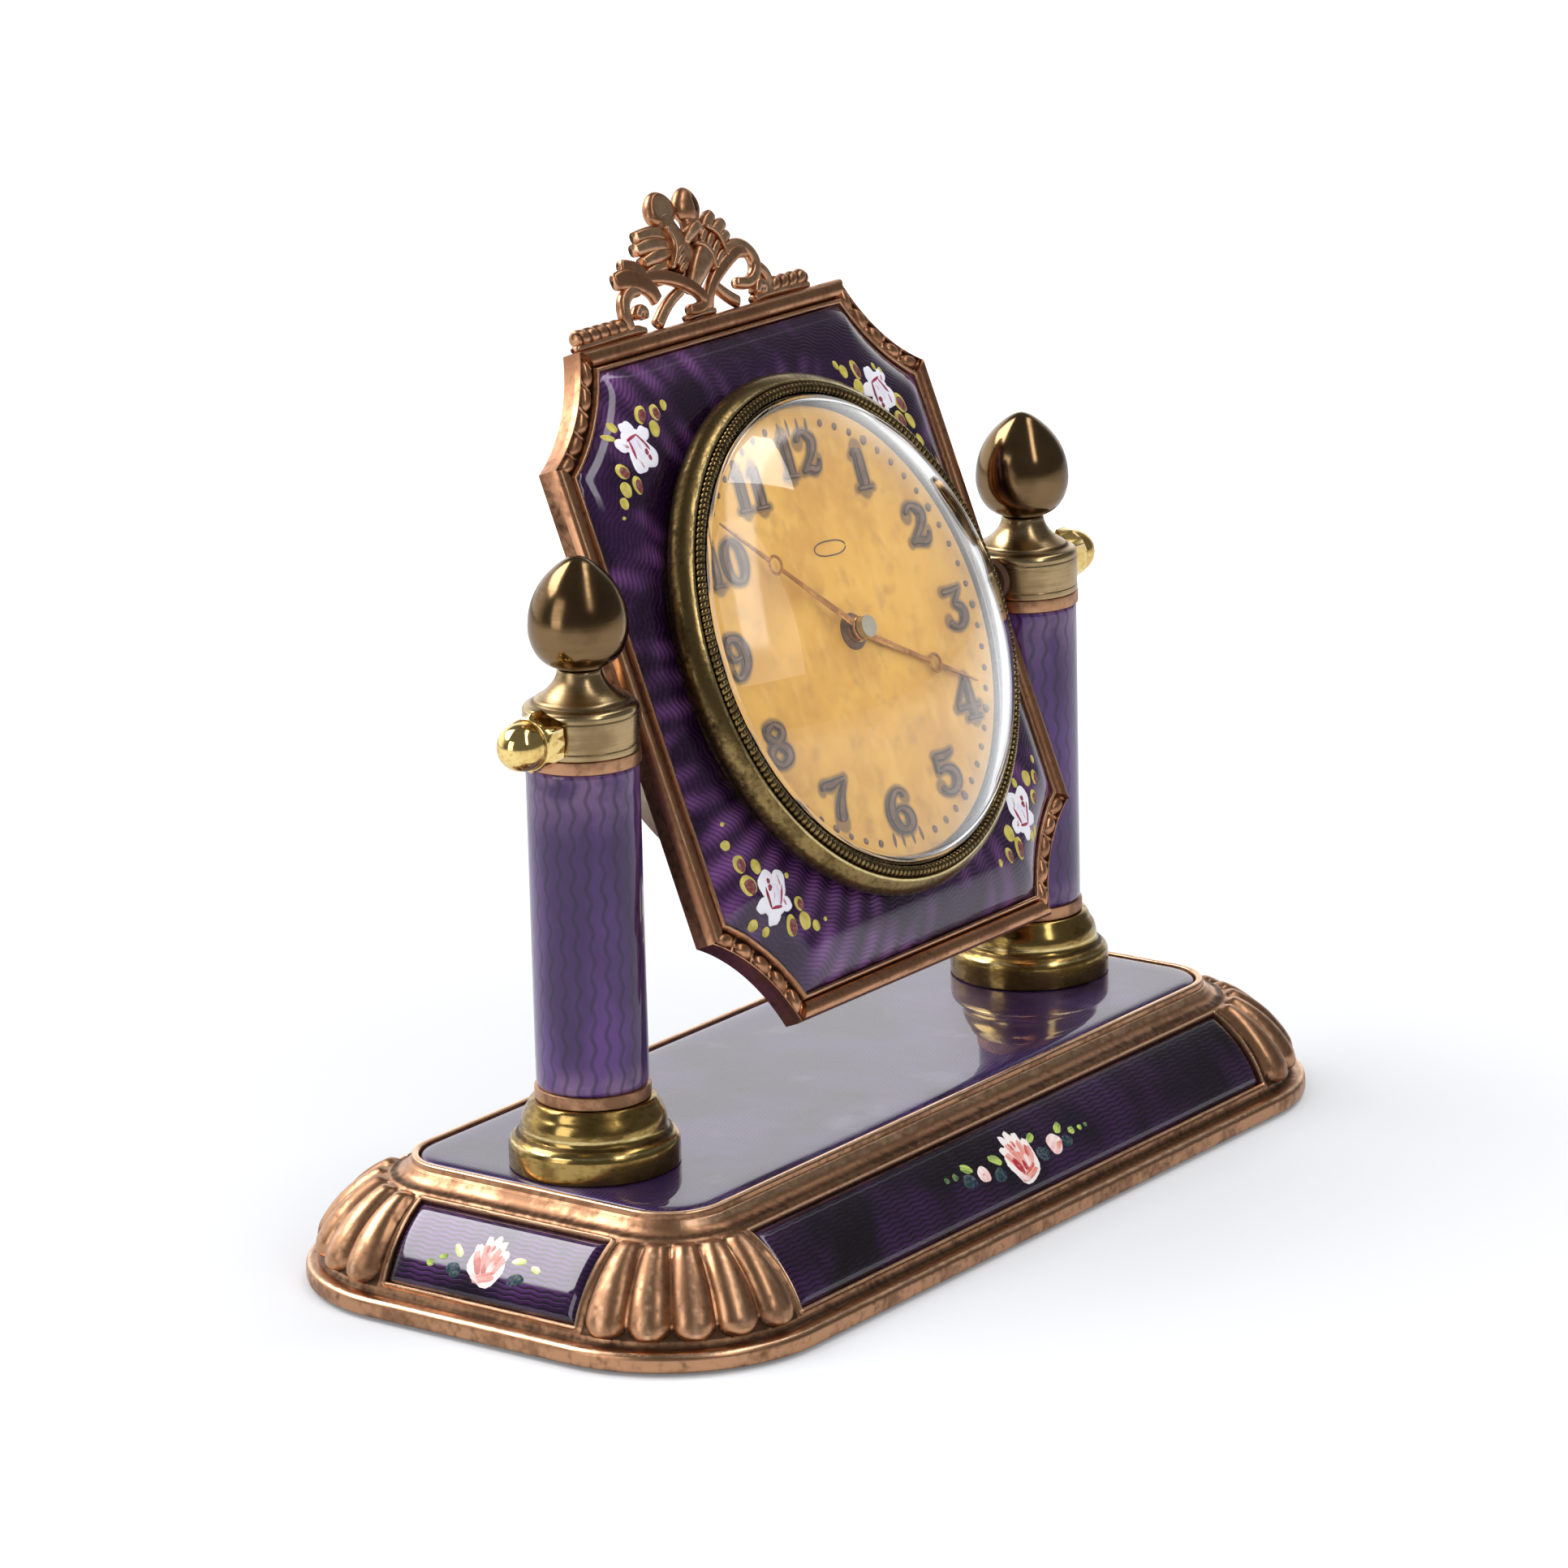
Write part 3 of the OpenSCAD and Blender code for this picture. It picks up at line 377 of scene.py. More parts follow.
copper = aged_metal("aged_copper", (196, 148, 112), (154, 114, 86), (78, 58, 44), (248, 204, 166),
                    rough=(0.31, 0.48), patch=6.0, pits=0.015)
deck_in, deck_corner, deck_low, deck_edge = 11.6, 6.4, 11.4, deck_z - 0.01
deck = rounded_slab(base_half - deck_in, deck_corner, deck_low, [(0, deck_edge), (0.5, deck_edge)])
piece("base_casing", [base_casing(), sheet(deck, (False, True), dark=0.7)], copper, "base", ["base_frame"],
      38)


# ---------------------------------------------------------------------------------------------------------------
# Enamelled plates of the base. Clear violet enamel fired over engine-turned metal: one plate in the top, four
# pillowed plates in the windows of the flank, each held by the rubbed-over copper edge round it.
def enamel(name, turned, deep, mid, bright, patch, film=0.5, cut=0.03, cloudy=0.0, shine=0.9, sway=3.0):
    """Clear enamel: a coloured metallic ground cut with the lines that turned() returns, under a slightly uneven
    coat. The colour drifts from deep to mid in patches. In other patches one flank of every wave is painted bright,
    a painted sheen of the metal ground under the enamel."""
    m = Finish(name, {"Metallic": film, "Roughness": 0.40, "Specular IOR Level": 0.1, "Coat Weight": 1.0,
                      "Coat Roughness": 0.03, "Coat IOR": 1.55})
    deep, mid, bright = tint(*deep), tint(*mid), tint(*bright)
    ridge, flank = turned(m)
    drift = m.ease(m.noise(patch, 3.0), 0.34, 0.68)
    grain = m.noise(0.35, 2.0)
    # painted sheen: the wave flanks that face the light are laid into the colour as brighter violet
    lit = m.ease(m.noise(patch * 0.9, 2.0, turn=(0.6, 0.2, 0.4)), 0.40, 0.66) * (flank * 0.8 + 0.2) * shine
    colour = m.blend(drift, deep, mid)
    colour = m.blend((lit + (grain - 0.5) * 0.3).clip(), colour, bright)
    colour = m.blend(((1 - ridge) * 0.42).clip(), colour, tuple(0.45 * c for c in deep[:3]) + (1.0,))
    if cloudy:
        colour = m.blend(m.ease(m.noise(patch * 0.6, 5.0), 0.55, 0.72) * cloudy, colour, tint(170, 160, 190))
    relief = ridge + flank * 0.6 + (grain - 0.5) * 0.4 + m.noise(5.0, 2.0) * sway
    m.give({"Base Color": colour, "Normal": m.raise_by(relief, cut)})
    return m


def waves(pitch, swing, length):
    """Parallel cuts along the plate, pitch apart, that swing once in each length: narrow, with broad ridges between
    them. Also how brightly each ridge shines in the painted sheen, a little more on the flank of each wave that
    faces the light."""
    def turned(m):
        along, across, _ = m.axes(m.mark("lay", 1))
        swell = along * (2 * math.pi / length)
        ridge = m.ease(((across + swell.sin() * swing) * (2 * math.pi / pitch)).sin(), -0.95, 0.4)
        return ridge, ridge * 0.75 + ((swell + 1.2).sin() * 0.5 + 0.5) * 0.25
    return turned


top_rings = [(0.0, 12.95), (0.12, 13.12), (0.35, 13.26), (0.8, 13.36), (1.4, 13.4), (3.0, 13.4)]
top_in, top_corner = 12.35, 5.65
top_plate = rounded_slab(base_half - top_in, top_corner, deck_z, top_rings)
top_enamel = enamel("top_enamel", waves(0.5, 0.14, 2.6), (44, 24, 58), (64, 42, 98), (98, 72, 136),
                    patch=14.0, cut=0.008, cloudy=0.22, shine=0.7)
piece("top_plate", [sheet(top_plate, (False, True), lay=top_plate)], top_enamel, "base", ["base_top_enamel"],
      60)


def flank_point(k, u, v, radius):
    """Side k of the flank: u along it from its middle, v up its arc, and the radius of that arc."""
    a = flank_a0 + v / flank_r
    out = straight[k % 2] + flank_c[0] + radius * np.cos(a)
    c, s = cos_sin(90 * k)
    return np.stack([out * c - u * s, out * s + u * c, flank_c[1] + radius * np.sin(a)], -1)


def window_plate(k):
    """Pillowed plate in the window of side k: a patch of the flank's arc whose height falls away over the last
    millimetre before its edge, closed behind at the thickness of the enamel."""
    clear, pillow, roll, thick = 0.05, 0.42, 1.3, 0.7
    half = straight[1 - k % 2] - window_end - clear
    low, high = window_edge, flank_arc - window_edge
    end = np.array([0, 0.03, 0.1, 0.2, 0.35, 0.55, 0.8, 1.2, 1.8])
    run = np.concatenate([-half + end, np.linspace(-half + 2.6, half - 2.6, int(half) + 6), half - end[::-1]])
    up = np.concatenate([low + end, np.linspace(low + 2.3, high - 2.3, 12), high - end[::-1]])
    u, v = np.meshgrid(run, up)
    d = np.minimum(half - np.abs(u), np.minimum(v - low, high - v))
    lift = -plate_sunk - pillow * np.clip(1 - d / roll, 0, 1) ** 2.4
    front, behind = flank_point(k, u, v, flank_r + lift), flank_point(k, u, v, flank_r - thick)
    grid = np.stack([u, v, d], -1)
    # the plate closes on itself: front rows, then back rows in the other direction
    both = np.concatenate([behind[:1], front, behind[::-1]])
    lay = np.concatenate([grid[:1], grid, grid[::-1]])
    sides = [sheet(np.stack([front[:, j], behind[:, j]]), lay=np.stack([grid[:, j]] * 2)) for j in (0, -1)]
    return [sheet(both, lay=lay)] + sides


flank_enamel = enamel("flank_enamel", waves(0.55, 0.08, 2.2), (15, 4, 20), (32, 11, 41), (74, 36, 90),
                      cut=0.02, patch=12.0, sway=6.0)
for k, side in enumerate(("right", "back", "left", "front")):
    piece("plate_" + side, window_plate(k), flank_enamel, "base", ["enamel_" + side], 50)


# Painted sprays on the base. Opaque enamel colours laid on the fired plates in short raised dabs: coral and pink
# roses with white petals, dark blue-green and yellow-green leaves.
paints = {"w": (246, 236, 232), "p": (238, 184, 176), "c": (226, 122, 104), "r": (176, 42, 52), "b": (120, 30, 44),
          "l": (196, 214, 96), "g": (98, 134, 62), "d": (28, 62, 56), "t": (10, 36, 66)}
paints = {letter: tint(*colour) for letter, colour in paints.items()}


def dab(centre, size, turn, place, pair, high, seed, rough, streaks=9, shades=paints):
    """One brush dab in streaks of two paints. Radius from its centre follows a drop outline with a wavy edge; height
    over the plate falls from the middle to nothing at the edge. place() carries plate coordinates and height into
    the clock."""
    rings, steps = np.linspace(0, 1, 7)[:, None], circle(24)[None]
    edge = 1 + rough * (0.10 * np.sin(3 * steps + seed) + 0.07 * np.sin(5 * steps + 2.3 * seed))
    point = 1 - 0.30 * rough * np.clip(np.cos(steps), 0, 1) ** 6
    a = rings * size[0] * np.cos(steps) * edge * point
    b = rings * size[1] * np.sin(steps) * edge * (1 - 0.25 * rough * np.cos(steps))
    c, s = cos_sin(turn)
    u, v = centre[0] + a * c - b * s, centre[1] + a * s + b * c
    line = 0.5 * np.sin(streaks * b / max(size[1], 0.1) + seed * 1.7) * rings
    streak = np.clip(0.5 + line + 0.3 * np.cos(steps + seed), 0, 1)[..., None]
    colour = np.array(shades[pair[0]]) * (1 - streak) + np.array(shades[pair[1]]) * streak
    top = place(u, v, high * np.sqrt(np.clip(1 - rings ** 3, 0, 1)))
    low = place(u[-1:], v[-1:], -0.12)
    return sheet(np.concatenate([top, low, shut(low)]), (False, True),
                 colour=np.concatenate([colour, colour[-1:], colour[-1:]]))


def flank_place(k):
    """Plate coordinates of side k and height off its plate, into the clock."""
    return lambda u, v, height: flank_point(k, u, v, flank_r - plate_sunk + height)


def rose(centre, size, place, seed, pale=0.0):
    """A painted rose seen from the side: a white ground with a feathered top edge, coral petals fanned upward over
    it, crimson strokes between them and one broad petal folded across the foot. Each row is middle, half length,
    half width, turn, paints and height."""
    shades = dict(paints)
    for letter in "cr":
        shades[letter] = tuple(c * (1 - pale) + w * pale for c, w in zip(paints[letter], paints["p"]))
    rows = ((0, -.05, .95, .92, 90, "ww", .08), (-.62, .35, .42, .22, 115, "ww", .09),
            (.66, .30, .42, .22, 62, "ww", .09), (-.30, .78, .36, .20, 104, "ww", .09),
            (.08, .88, .34, .20, 88, "ww", .09), (.40, .70, .36, .20, 74, "ww", .09),
            (-.55, .05, .62, .20, 108, "pc", .11), (.58, .02, .60, .20, 70, "pc", .11),
            (-.28, .36, .50, .18, 100, "cp", .12), (.30, .34, .50, .18, 78, "cp", .12),
            (.0, .42, .46, .17, 90, "pw", .12), (-.08, -.02, .55, .30, 92, "cp", .13),
            (.28, -.15, .45, .22, 70, "pw", .13), (-.42, -.18, .52, .20, 112, "rr", .14),
            (.02, .55, .24, .09, 86, "rc", .14), (-.22, .50, .26, .09, 98, "rc", .14),
            (.46, .12, .42, .10, 66, "rc", .14), (-.04, -.28, .40, .14, 100, "rr", .15),
            (.10, -.62, .62, .22, 14, "cp", .16), (.14, -.50, .58, .09, 22, "rc", .17),
            (-.32, -.72, .38, .14, -24, "wp", .16))
    return [dab((centre[0] + size * x, centre[1] + size * y * 1.08), (size * length, size * width), turn, place,
                pair, high, seed + k, 0.7, shades=shades)
            for k, (x, y, length, width, turn, pair, high) in enumerate(rows)]


def petals(place, seed, *rows):
    """Leaves and small buds: each row is middle, half length, half width, turn and paints."""
    return [dab((u, v), (length, width), turn, place, pair, 0.08, seed + k, 0.45)
            for k, (u, v, length, width, turn, pair) in enumerate(rows)]


paint = Finish("painted_enamel", {"Roughness": 0.5, "Specular IOR Level": 0.2, "Coat Weight": 0.12,
                                  "Coat Roughness": 0.1})
chalked = paint.ease(paint.noise(0.35, 3.0), 0.4, 0.7) * 0.12
paint.give({"Base Color": paint.blend(chalked, paint.mark("colour", 0), tint(240, 232, 230)),
            "Normal": paint.raise_by(paint.noise(0.3, 3.0), 0.02)})
sprays = petals(
    flank_place(3), 3,
    (-13.6, 5.9, .42, .36, 0, "gd"), (-12.1, 5.85, .5, .42, 20, "dg"), (-9.9, 6.2, .9, .55, 150, "lg"),
    (-10.5, 4.8, 1.15, .8, 170, "td"), (-5.0, 5.75, 1.05, .55, 145, "lg"), (-5.5, 4.0, 1.05, .78, 190, "td"),
    (-7.8, 4.9, 1.0, .92, 90, "wp"), (-7.95, 4.85, .5, .42, 60, "rb"), (2.2, 6.3, .85, .45, 25, "lg"),
    (2.7, 4.1, 1.05, .8, -20, "td"), (7.1, 6.0, .85, .5, 35, "lg"), (7.4, 4.25, .9, .68, -10, "td"),
    (5.3, 4.6, 1.3, 1.15, 30, "wp"), (5.5, 4.4, 1.05, .75, 35, "cp"), (5.2, 4.7, .75, .12, 40, "rc"),
    (8.9, 5.1, .55, .45, 0, "lg"), (10.4, 5.0, .4, .32, 0, "lg"), (11.5, 5.0, .34, .28, 0, "gd"))
sprays += rose((-1.0, 4.75), 2.75, flank_place(3), 11)
for k in (2, 0):
    sprays += petals(
        flank_place(k), 5,
        (-7.3, 3.6, .5, .42, 0, "lg"), (-5.9, 4.5, .6, .3, 20, "lg"), (-4.3, 3.4, 1.0, .75, 160, "dt"),
        (-4.4, 5.5, .95, .45, 135, "lw"), (3.7, 3.7, 1.1, .65, 20, "dt"), (3.4, 5.7, .95, .42, 10, "lw"),
        (5.7, 5.2, .7, .4, -15, "lw"))
    sprays += rose((-.4, 4.9), 2.5, flank_place(k), 29, 0.45)
piece("rose_sprays_base", sprays, paint, "base", [], 60)


# Underside. A steel cover closes the casing on four brass screws, and a felt pad is glued to it. Solids of the frame
# that stay as they are only take their finish.
def dress(finish, *nodes):
    for node in nodes:
        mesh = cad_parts[node].data
        mesh.materials.clear()
        mesh.materials.append(finish.material)


def fibrous(name, sockets, one, other, size, detail, bump_size, bump_detail, depth):
    """Felt or leather: two colours in soft noise, and a bump of finer noise."""
    m = Finish(name, sockets)
    m.give({"Base Color": m.blend(m.noise(size, detail), tint(*one), tint(*other)),
            "Normal": m.raise_by(m.noise(bump_size, bump_detail), depth)})
    return m


plain_steel = aged_metal("blued_steel", (150, 152, 158), (120, 122, 130), (60, 58, 58), (205, 206, 210),
                         rough=(0.28, 0.45), patch=7.0, pits=0.01)
dress(fibrous("felt", {"Roughness": 0.95, "Sheen Weight": 0.4, "Sheen Roughness": 0.5}, (38, 24, 48), (70, 50, 84),
              0.5, 5.0, 0.25, 5.0, 0.12), "base_felt")
dress(plain_steel, "base_cover", "tie_rods", "tie_nuts", "pivot_screws")


# Posts. Each is a stack on a tie rod: turned brass foot, copper ferrule, enamelled sleeve, copper ferrule, turned
# cap that takes the pivot screw, and a bud finial.
post_x = 40.0


def turned(line, x, z=0.0, steps=128, **marks):
    """A profile of radius and height turned once round the axis of the post at x; marks follow the profile."""
    line = np.asarray(line, float)
    r, high, a = line[:, :1], line[:, 1:] + np.zeros(steps), circle(steps)
    lay = np.stack([a * r.max() + 0 * high, high, 0 * high], -1)
    marks = {key: value[:, None] for key, value in marks.items()}
    return sheet(np.stack([x + r * np.cos(a), r * np.sin(a), z + high], -1), (False, True), lay=lay, **marks)


foot_line = rounded([[0, 13.4], [8.85, 13.4], [8.92, 13.55], [8.9, 15.5], [8.86, 16.0], [8.6, 16.5], [8.15, 16.8],
                     [7.8, 17.05], [7.62, 17.4], [7.6, 17.9], [7.52, 18.5], [7.3, 19.1], [6.95, 19.6], [6.75, 20.1],
                     [6.5, 20.5], [6.2, 20.6], [1.6, 20.6]])
cap_line = rounded([[1.6, 57.5], [5.9, 57.5], [6.0, 57.6], [6.0, 58.2], [5.93, 58.3], [6.0, 58.4], [6.0, 61.3],
                    [5.94, 61.45], [6.0, 61.6], [5.98, 61.95], [5.75, 62.3], [5.2, 62.5], [4.9, 62.62],
                    [4.75, 62.9], [4.2, 63.2], [3.4, 63.8], [2.7, 64.6], [2.36, 65.4], [2.3, 66.1], [0, 66.1]])
bud_line = rounded([[0, 66.1], [2.25, 66.1], [2.5, 66.14], [3.1, 66.35], [4.0, 67.0], [4.68, 68.0], [5.1, 69.3],
                    [5.18, 70.4], [5.05, 71.8], [4.7, 73.1], [4.05, 74.45], [3.15, 75.65], [2.05, 76.65],
                    [1.1, 77.3], [0.45, 77.55], [0, 77.6]])
ferrule_line = np.array([[1.6, 0], [5.9, 0], [6.03, 0.08], [6.05, 0.2], [6.05, 1.2], [6.03, 1.32], [5.9, 1.4],
                         [1.6, 1.4]])
sleeve_line = [[1.7, 22.0], [5.6, 22.0], [5.72, 22.06], [5.8, 22.2], [5.84, 22.5], [5.85, 23.0], [5.85, 39.0],
               [5.85, 55.1], [5.84, 55.6], [5.8, 55.9], [5.72, 56.04], [5.6, 56.1], [1.7, 56.1]]

old_brass = aged_metal("polished_brass", (170, 142, 84), (122, 98, 52), (62, 44, 24), (238, 216, 156),
                       rough=(0.16, 0.32), patch=3.6, pits=0.008, grain=(2, 2, 0.7), fleck=0.3)
brown_brass = aged_metal("browned_brass", (132, 106, 74), (98, 76, 52), (52, 40, 28), (206, 180, 132),
                         rough=(0.14, 0.24), patch=8.0, pits=0.003, grain=(14, 14, 0.3), fleck=0.12)
satin_brass = aged_metal("satin_brass", (186, 160, 118), (152, 126, 90), (74, 56, 38), (216, 192, 146),
                         rough=(0.22, 0.34), patch=6.0, pits=0.006, grain=(8, 8, 0.3), fleck=0.2)
gold_nut = aged_metal("gilt_nut", (252, 222, 146), (236, 196, 112), (140, 100, 48), (255, 240, 196),
                      rough=(0.10, 0.2), patch=3.0, pits=0.006)


def fired_sleeve():
    """Clouded violet enamel, paler at both ends, over dark wavy lines up the sleeve, twenty-four round it."""
    m = Finish("sleeve_enamel", {"Metallic": 0.3, "Roughness": 0.4, "Specular IOR Level": 0.1, "Coat Weight": 1.0,
                                 "Coat Roughness": 0.05})
    round_it, up, _ = m.axes(m.mark("lay", 1))
    swing = (up * (2 * math.pi / 3.1)).sin() * 0.22
    cuts = m.ease(((round_it + swing + (up * 0.31).sin() * 0.12) * (2 * math.pi / 1.5315)).sin(), -1.0, -0.3)
    haze = m.ease(m.noise(6.0, 4.0, (1, 1, 3)), 0.35, 0.68)
    ends = (m.ease(up, 25.5, 22.3) + m.ease(up, 48.0, 56.0) * 0.8).clip()
    colour = m.blend(haze, tint(56, 26, 80), tint(88, 50, 120))
    colour = m.blend(ends * m.ease(m.noise(3.0, 3.0), 0.3, 0.6), colour, tint(122, 92, 130))
    faint = (1 - cuts) * (0.25 + m.noise(2.5, 3.0) * 0.6)
    m.give({"Base Color": m.blend(faint.clip(), colour, tint(28, 10, 44)),
            "Normal": m.raise_by(cuts + (m.noise(0.6) - 0.5) * 0.3, 0.02)})
    return m


sleeve_enamel = fired_sleeve()
for side, x in (("left", -post_x), ("right", post_x)):
    # heights of the dark grooves and of the rubbed edges, each with its width
    for part, line, finish, crease, deep, dark, high, worn in (
            ("foot", foot_line, old_brass, 50, 1.0, [(16.95, 0.22), (13.4, 0.25)], 0.7, [(16.35, 0.25), (17.7, 0.3)]),
            ("cap", cap_line, satin_brass, 50, 0.8, [(62.7, 0.25)], 0.8, [(61.95, 0.25)]),
            ("bud", bud_line, brown_brass, 60, 0.7, [(66.1, 0.3)], 0.5, [(77.5, 0.6)])):
        dark, worn = (np.clip(sum(hump(line[:, 1], *place) for place in places), 0, 1) for places in (dark, worn))
        node = "finial" if part == "bud" else part
        piece(f"post_{part}_{side}", [turned(line, x, dark=deep * dark, worn=high * worn)], finish, "base",
              [f"{node}_{side}"], crease)
    for place, z in (("lower", 20.6), ("upper", 56.1)):
        ring = turned(ferrule_line, x, z, 96, worn=(ferrule_line[:, 0] > 6.0) * 0.35)
        piece(f"{place}_ferrule_ring_{side}", [ring], copper, "base", [f"{place}_ferrule_{side}"], 40)
    piece("sleeve_tube_" + side, [turned(sleeve_line, x)], sleeve_enamel, "base", ["sleeve_" + side], 60)


# Pivot hardware. A gilt dome nut closes the outer end of each pivot screw; the screw's thin tip carries the head
# behind a leather friction washer. Brass washers and screws are hidden in the base.
pivot_z = 59.8


def dome_nut(side):
    """Hexagon five and a half across flats cut by a cone at both ends, then a ball end, along the pivot axis."""
    a = circle(96) + math.radians(8)
    flats = 2.75 / np.cos((a + math.pi / 6) % (math.pi / 3) - math.pi / 6)
    line = [(5.7, 0), (5.7, 2.25), (6.12, 2.25), (6.12, 2.62), (6.2, 2.75), (6.42, 3.2), (8.2, 3.2), (8.62, 2.85),
            (8.84, 2.66), (8.9, 2.5), (9.0, 2.44)]
    line += [(9.85 + 2.5 * math.sin(t), 2.48 * math.cos(t)) for t in np.linspace(0, math.pi / 2, 16)]
    line = np.array(line)
    x, r = line[:, :1] + 0 * a, np.minimum(line[:, 1:], flats)
    grid = np.stack([side * (post_x + x), r * np.cos(a), pivot_z + r * np.sin(a)], -1)
    dark = np.clip(hump(x, 6.1, 0.12) + hump(x, 8.93, 0.1), 0, 1)
    return sheet(grid, (False, True), dark=dark, worn=0.6 * (r > 3.0))


piece("gilt_dome_nuts", [dome_nut(-1), dome_nut(1)], gold_nut, "base", ["dome_nuts"], 28)
dress(fibrous("leather", {"Roughness": 0.7}, (58, 38, 26), (92, 62, 42), 0.8, 4.0, 0.4, 4.0, 0.05),
      "friction_washers")
dress(old_brass, "cover_screws", "tie_washers")


# ---------------------------------------------------------------------------------------------------------------
# Head frame. Pressed copper, eight-sided: four straight rails with a half-round bead, and four hollow corners that
# carry five egg-shaped drops between thin fins. A fillet runs along the whole inner edge and holds the plate.
tilt, axis_back = math.radians(21.3), 1.34
head_w, head_h, rail_u, rail_v, rail = 32.8, 36.6, 23.1, 25.6, 2.7
corner_bow = 1.4
cut_across = math.hypot(head_w - rail_u, head_h - rail_v)
hollow_r = cut_across ** 2 / (8 * corner_bow) + corner_bow / 2
hollow_u = (head_w + rail_u) / 2 + (hollow_r - corner_bow) * (head_h - rail_v) / cut_across
hollow_v = (head_h + rail_v) / 2 + (hollow_r - corner_bow) * (head_w - rail_u) / cut_across


def leaned(u, v, w):
    """Head coordinates, right and up on its face and out from the rail plane, leaned back round the pivots."""
    u, v, w = np.broadcast_arrays(u, v, w)
    out, c, s = -(w + axis_back), math.cos(tilt), math.sin(tilt)
    return np.stack([u, out * c + v * s, -out * s + v * c + pivot_z], -1)


def head_outline(inset, rail_steps=9, corner_steps=100):
    """The eight-sided outline moved in by inset: straight rails, and corners that are arcs round centres outside
    the head. Returns its points and, for each, the share of the way along its corner, or -1 on a rail."""
    r, a, b = hollow_r + inset, head_w - inset, head_h - inset
    side = hollow_v - math.sqrt(r * r - (hollow_u - a) ** 2)
    top = hollow_u - math.sqrt(r * r - (hollow_v - b) ** 2)
    turn = np.linspace(math.atan2(side - hollow_v, a - hollow_u), math.atan2(b - hollow_v, top - hollow_u),
                       corner_steps)
    bend = np.stack([hollow_u + r * np.cos(turn), hollow_v + r * np.sin(turn)], 1)
    s = np.linspace(0, 1, corner_steps)
    up = np.stack([np.full(rail_steps, a), np.linspace(-side, side, rail_steps)], 1)
    across = np.stack([np.linspace(top, -top, rail_steps), np.full(rail_steps, b)], 1)
    none = np.full(rail_steps, -1.0)
    half = np.vstack([up, bend, across, (bend * [-1, 1])[::-1]])
    return np.vstack([half, -half]), np.concatenate([none, s, none, s[::-1]] * 2)


def frame_ring():
    """The rail's section carried round the outline. In the corners the bead gives way to a hollow ground on which
    five half-egg drops stand across the band, with a fin between each two."""
    bead_end = 2.0
    inset = np.unique(np.concatenate([[0, 0.1, 0.2, 0.3, 0.36], np.linspace(0.36, bead_end, 19),
                                      np.linspace(2.04, rail, 9)]))
    bead = -0.34 + 0.86 * np.clip(1 - np.abs((inset - 1.02) / 0.98) ** 2.3, 0, 1) ** 0.5
    edge = np.interp(inset, [0, 0.06, 0.12], [-0.75, -0.5, -0.36])
    fillet = np.interp(inset, [bead_end, 2.08, 2.2, 2.35, 2.5, 2.62, rail], [-0.3, 0.02, 0.3, 0.42, 0.42, 0.32, 0.1])
    straight_w = np.where(inset < 0.08, edge, np.where(inset > bead_end, fillet, bead))
    points, s = zip(*[head_outline(e) for e in inset])
    points, s = np.array(points), s[0][None]
    e = inset[:, None]
    place = drops * s
    local = 2 * (place - np.floor(np.clip(place, 0, drops - 0.001))) - 1
    slid = local + 0.10 * (e - 1.1)
    egg = np.clip(1 - np.abs(slid / 0.84) ** 2.1 - np.abs((e - 1.12) / 0.82) ** 2.3, 0, 1) ** 0.62
    fin = 0.22 * hump(1 - np.abs(slid), 0, 0.09) * (1 - 0.4 * soft_step(e, 1.6, 2.1))
    hollow = np.interp(inset, [0.12, 0.2, 0.36], [-0.02, -0.06, -0.4])
    ground = np.where(inset < 0.12, edge + 0.3 * (inset > 0.04), np.where(inset > bead_end, fillet, hollow))[:, None]
    corner = s >= 0
    corner_w = np.where((e > 0.2) & (e < 2.02), np.maximum(ground + 0.68 * egg, ground + fin), ground)
    w = np.where(corner, corner_w, straight_w[:, None])
    bare = 1 - np.clip(np.maximum(egg / 0.3, fin / 0.16), 0, 1)
    dark = np.where(corner, 0.9 * bare * (e > 0.24) * (e < 2.1), 0)
    dark = np.maximum(dark, 0.85 * hump(e, 2.03, 0.09))
    # bright marks: rubbed egg tops, fins, fillet and outer edge; on the straight rails the band by the bead is a
    # painted highlight
    worn = np.where(corner, 0.5 * soft_step(egg, 0.82, 1.0) + 0.4 * (fin > 0.16), 0.6 * hump(e, 0.45, 0.16))
    worn = np.maximum(worn, 0.8 * hump(e, 2.42, 0.14) + 0.4 * hump(e, 0.02, 0.08))

    def ring(inset_at, w_at):
        p, _ = head_outline(inset_at)
        return leaned(p[:, 0], p[:, 1], w_at)[None]
    wall = [ring(0, -2.3), ring(0, np.minimum(w[0], -0.75) - 0.04)]
    rest = [ring(rail, -0.5), ring(2.2, -0.5), ring(2.2, -2.4), ring(0.1, -2.4)]
    none = np.zeros((1, w.shape[1]))
    # painted shade: the outer wall of the straight rails, and the back of the frame all round, are darkened
    side = np.where(corner, 0.12, 0.66)
    return sheet(np.concatenate(wall + [leaned(points[..., 0], points[..., 1], w)] + rest), (True, True),
                 dark=np.concatenate([side, side, dark] + [none + 0.6] * 4),
                 worn=np.concatenate([none, none + 0.3, worn] + [none] * 4))


head_copper = aged_metal("frame_copper", (208, 154, 116), (172, 122, 90), (70, 48, 36), (250, 206, 166),
                         rough=(0.28, 0.42), patch=6.0, pits=0.010)
piece("head_frame", [frame_ring()], head_copper, "head", ["plaque_frame"], 42)


# Crest. A cast copper bow of ribbon with leaves and two buds, soldered on the top rail between two lengths of rope.
# Its straps are listed in head coordinates.
def squared(x, power):
    """A wave with its sign, made fuller by a power below one."""
    return np.sign(x) * np.abs(x) ** power


def beside(p, off):
    """Points to the side of a line of points in its plane, off by the rows of off."""
    way = np.gradient(p, axis=0)
    way /= np.linalg.norm(way, axis=1)[:, None] + 1e-9
    return p[:, :1] - way[:, 1:] * off, p[:, 1:2] + way[:, :1] * off


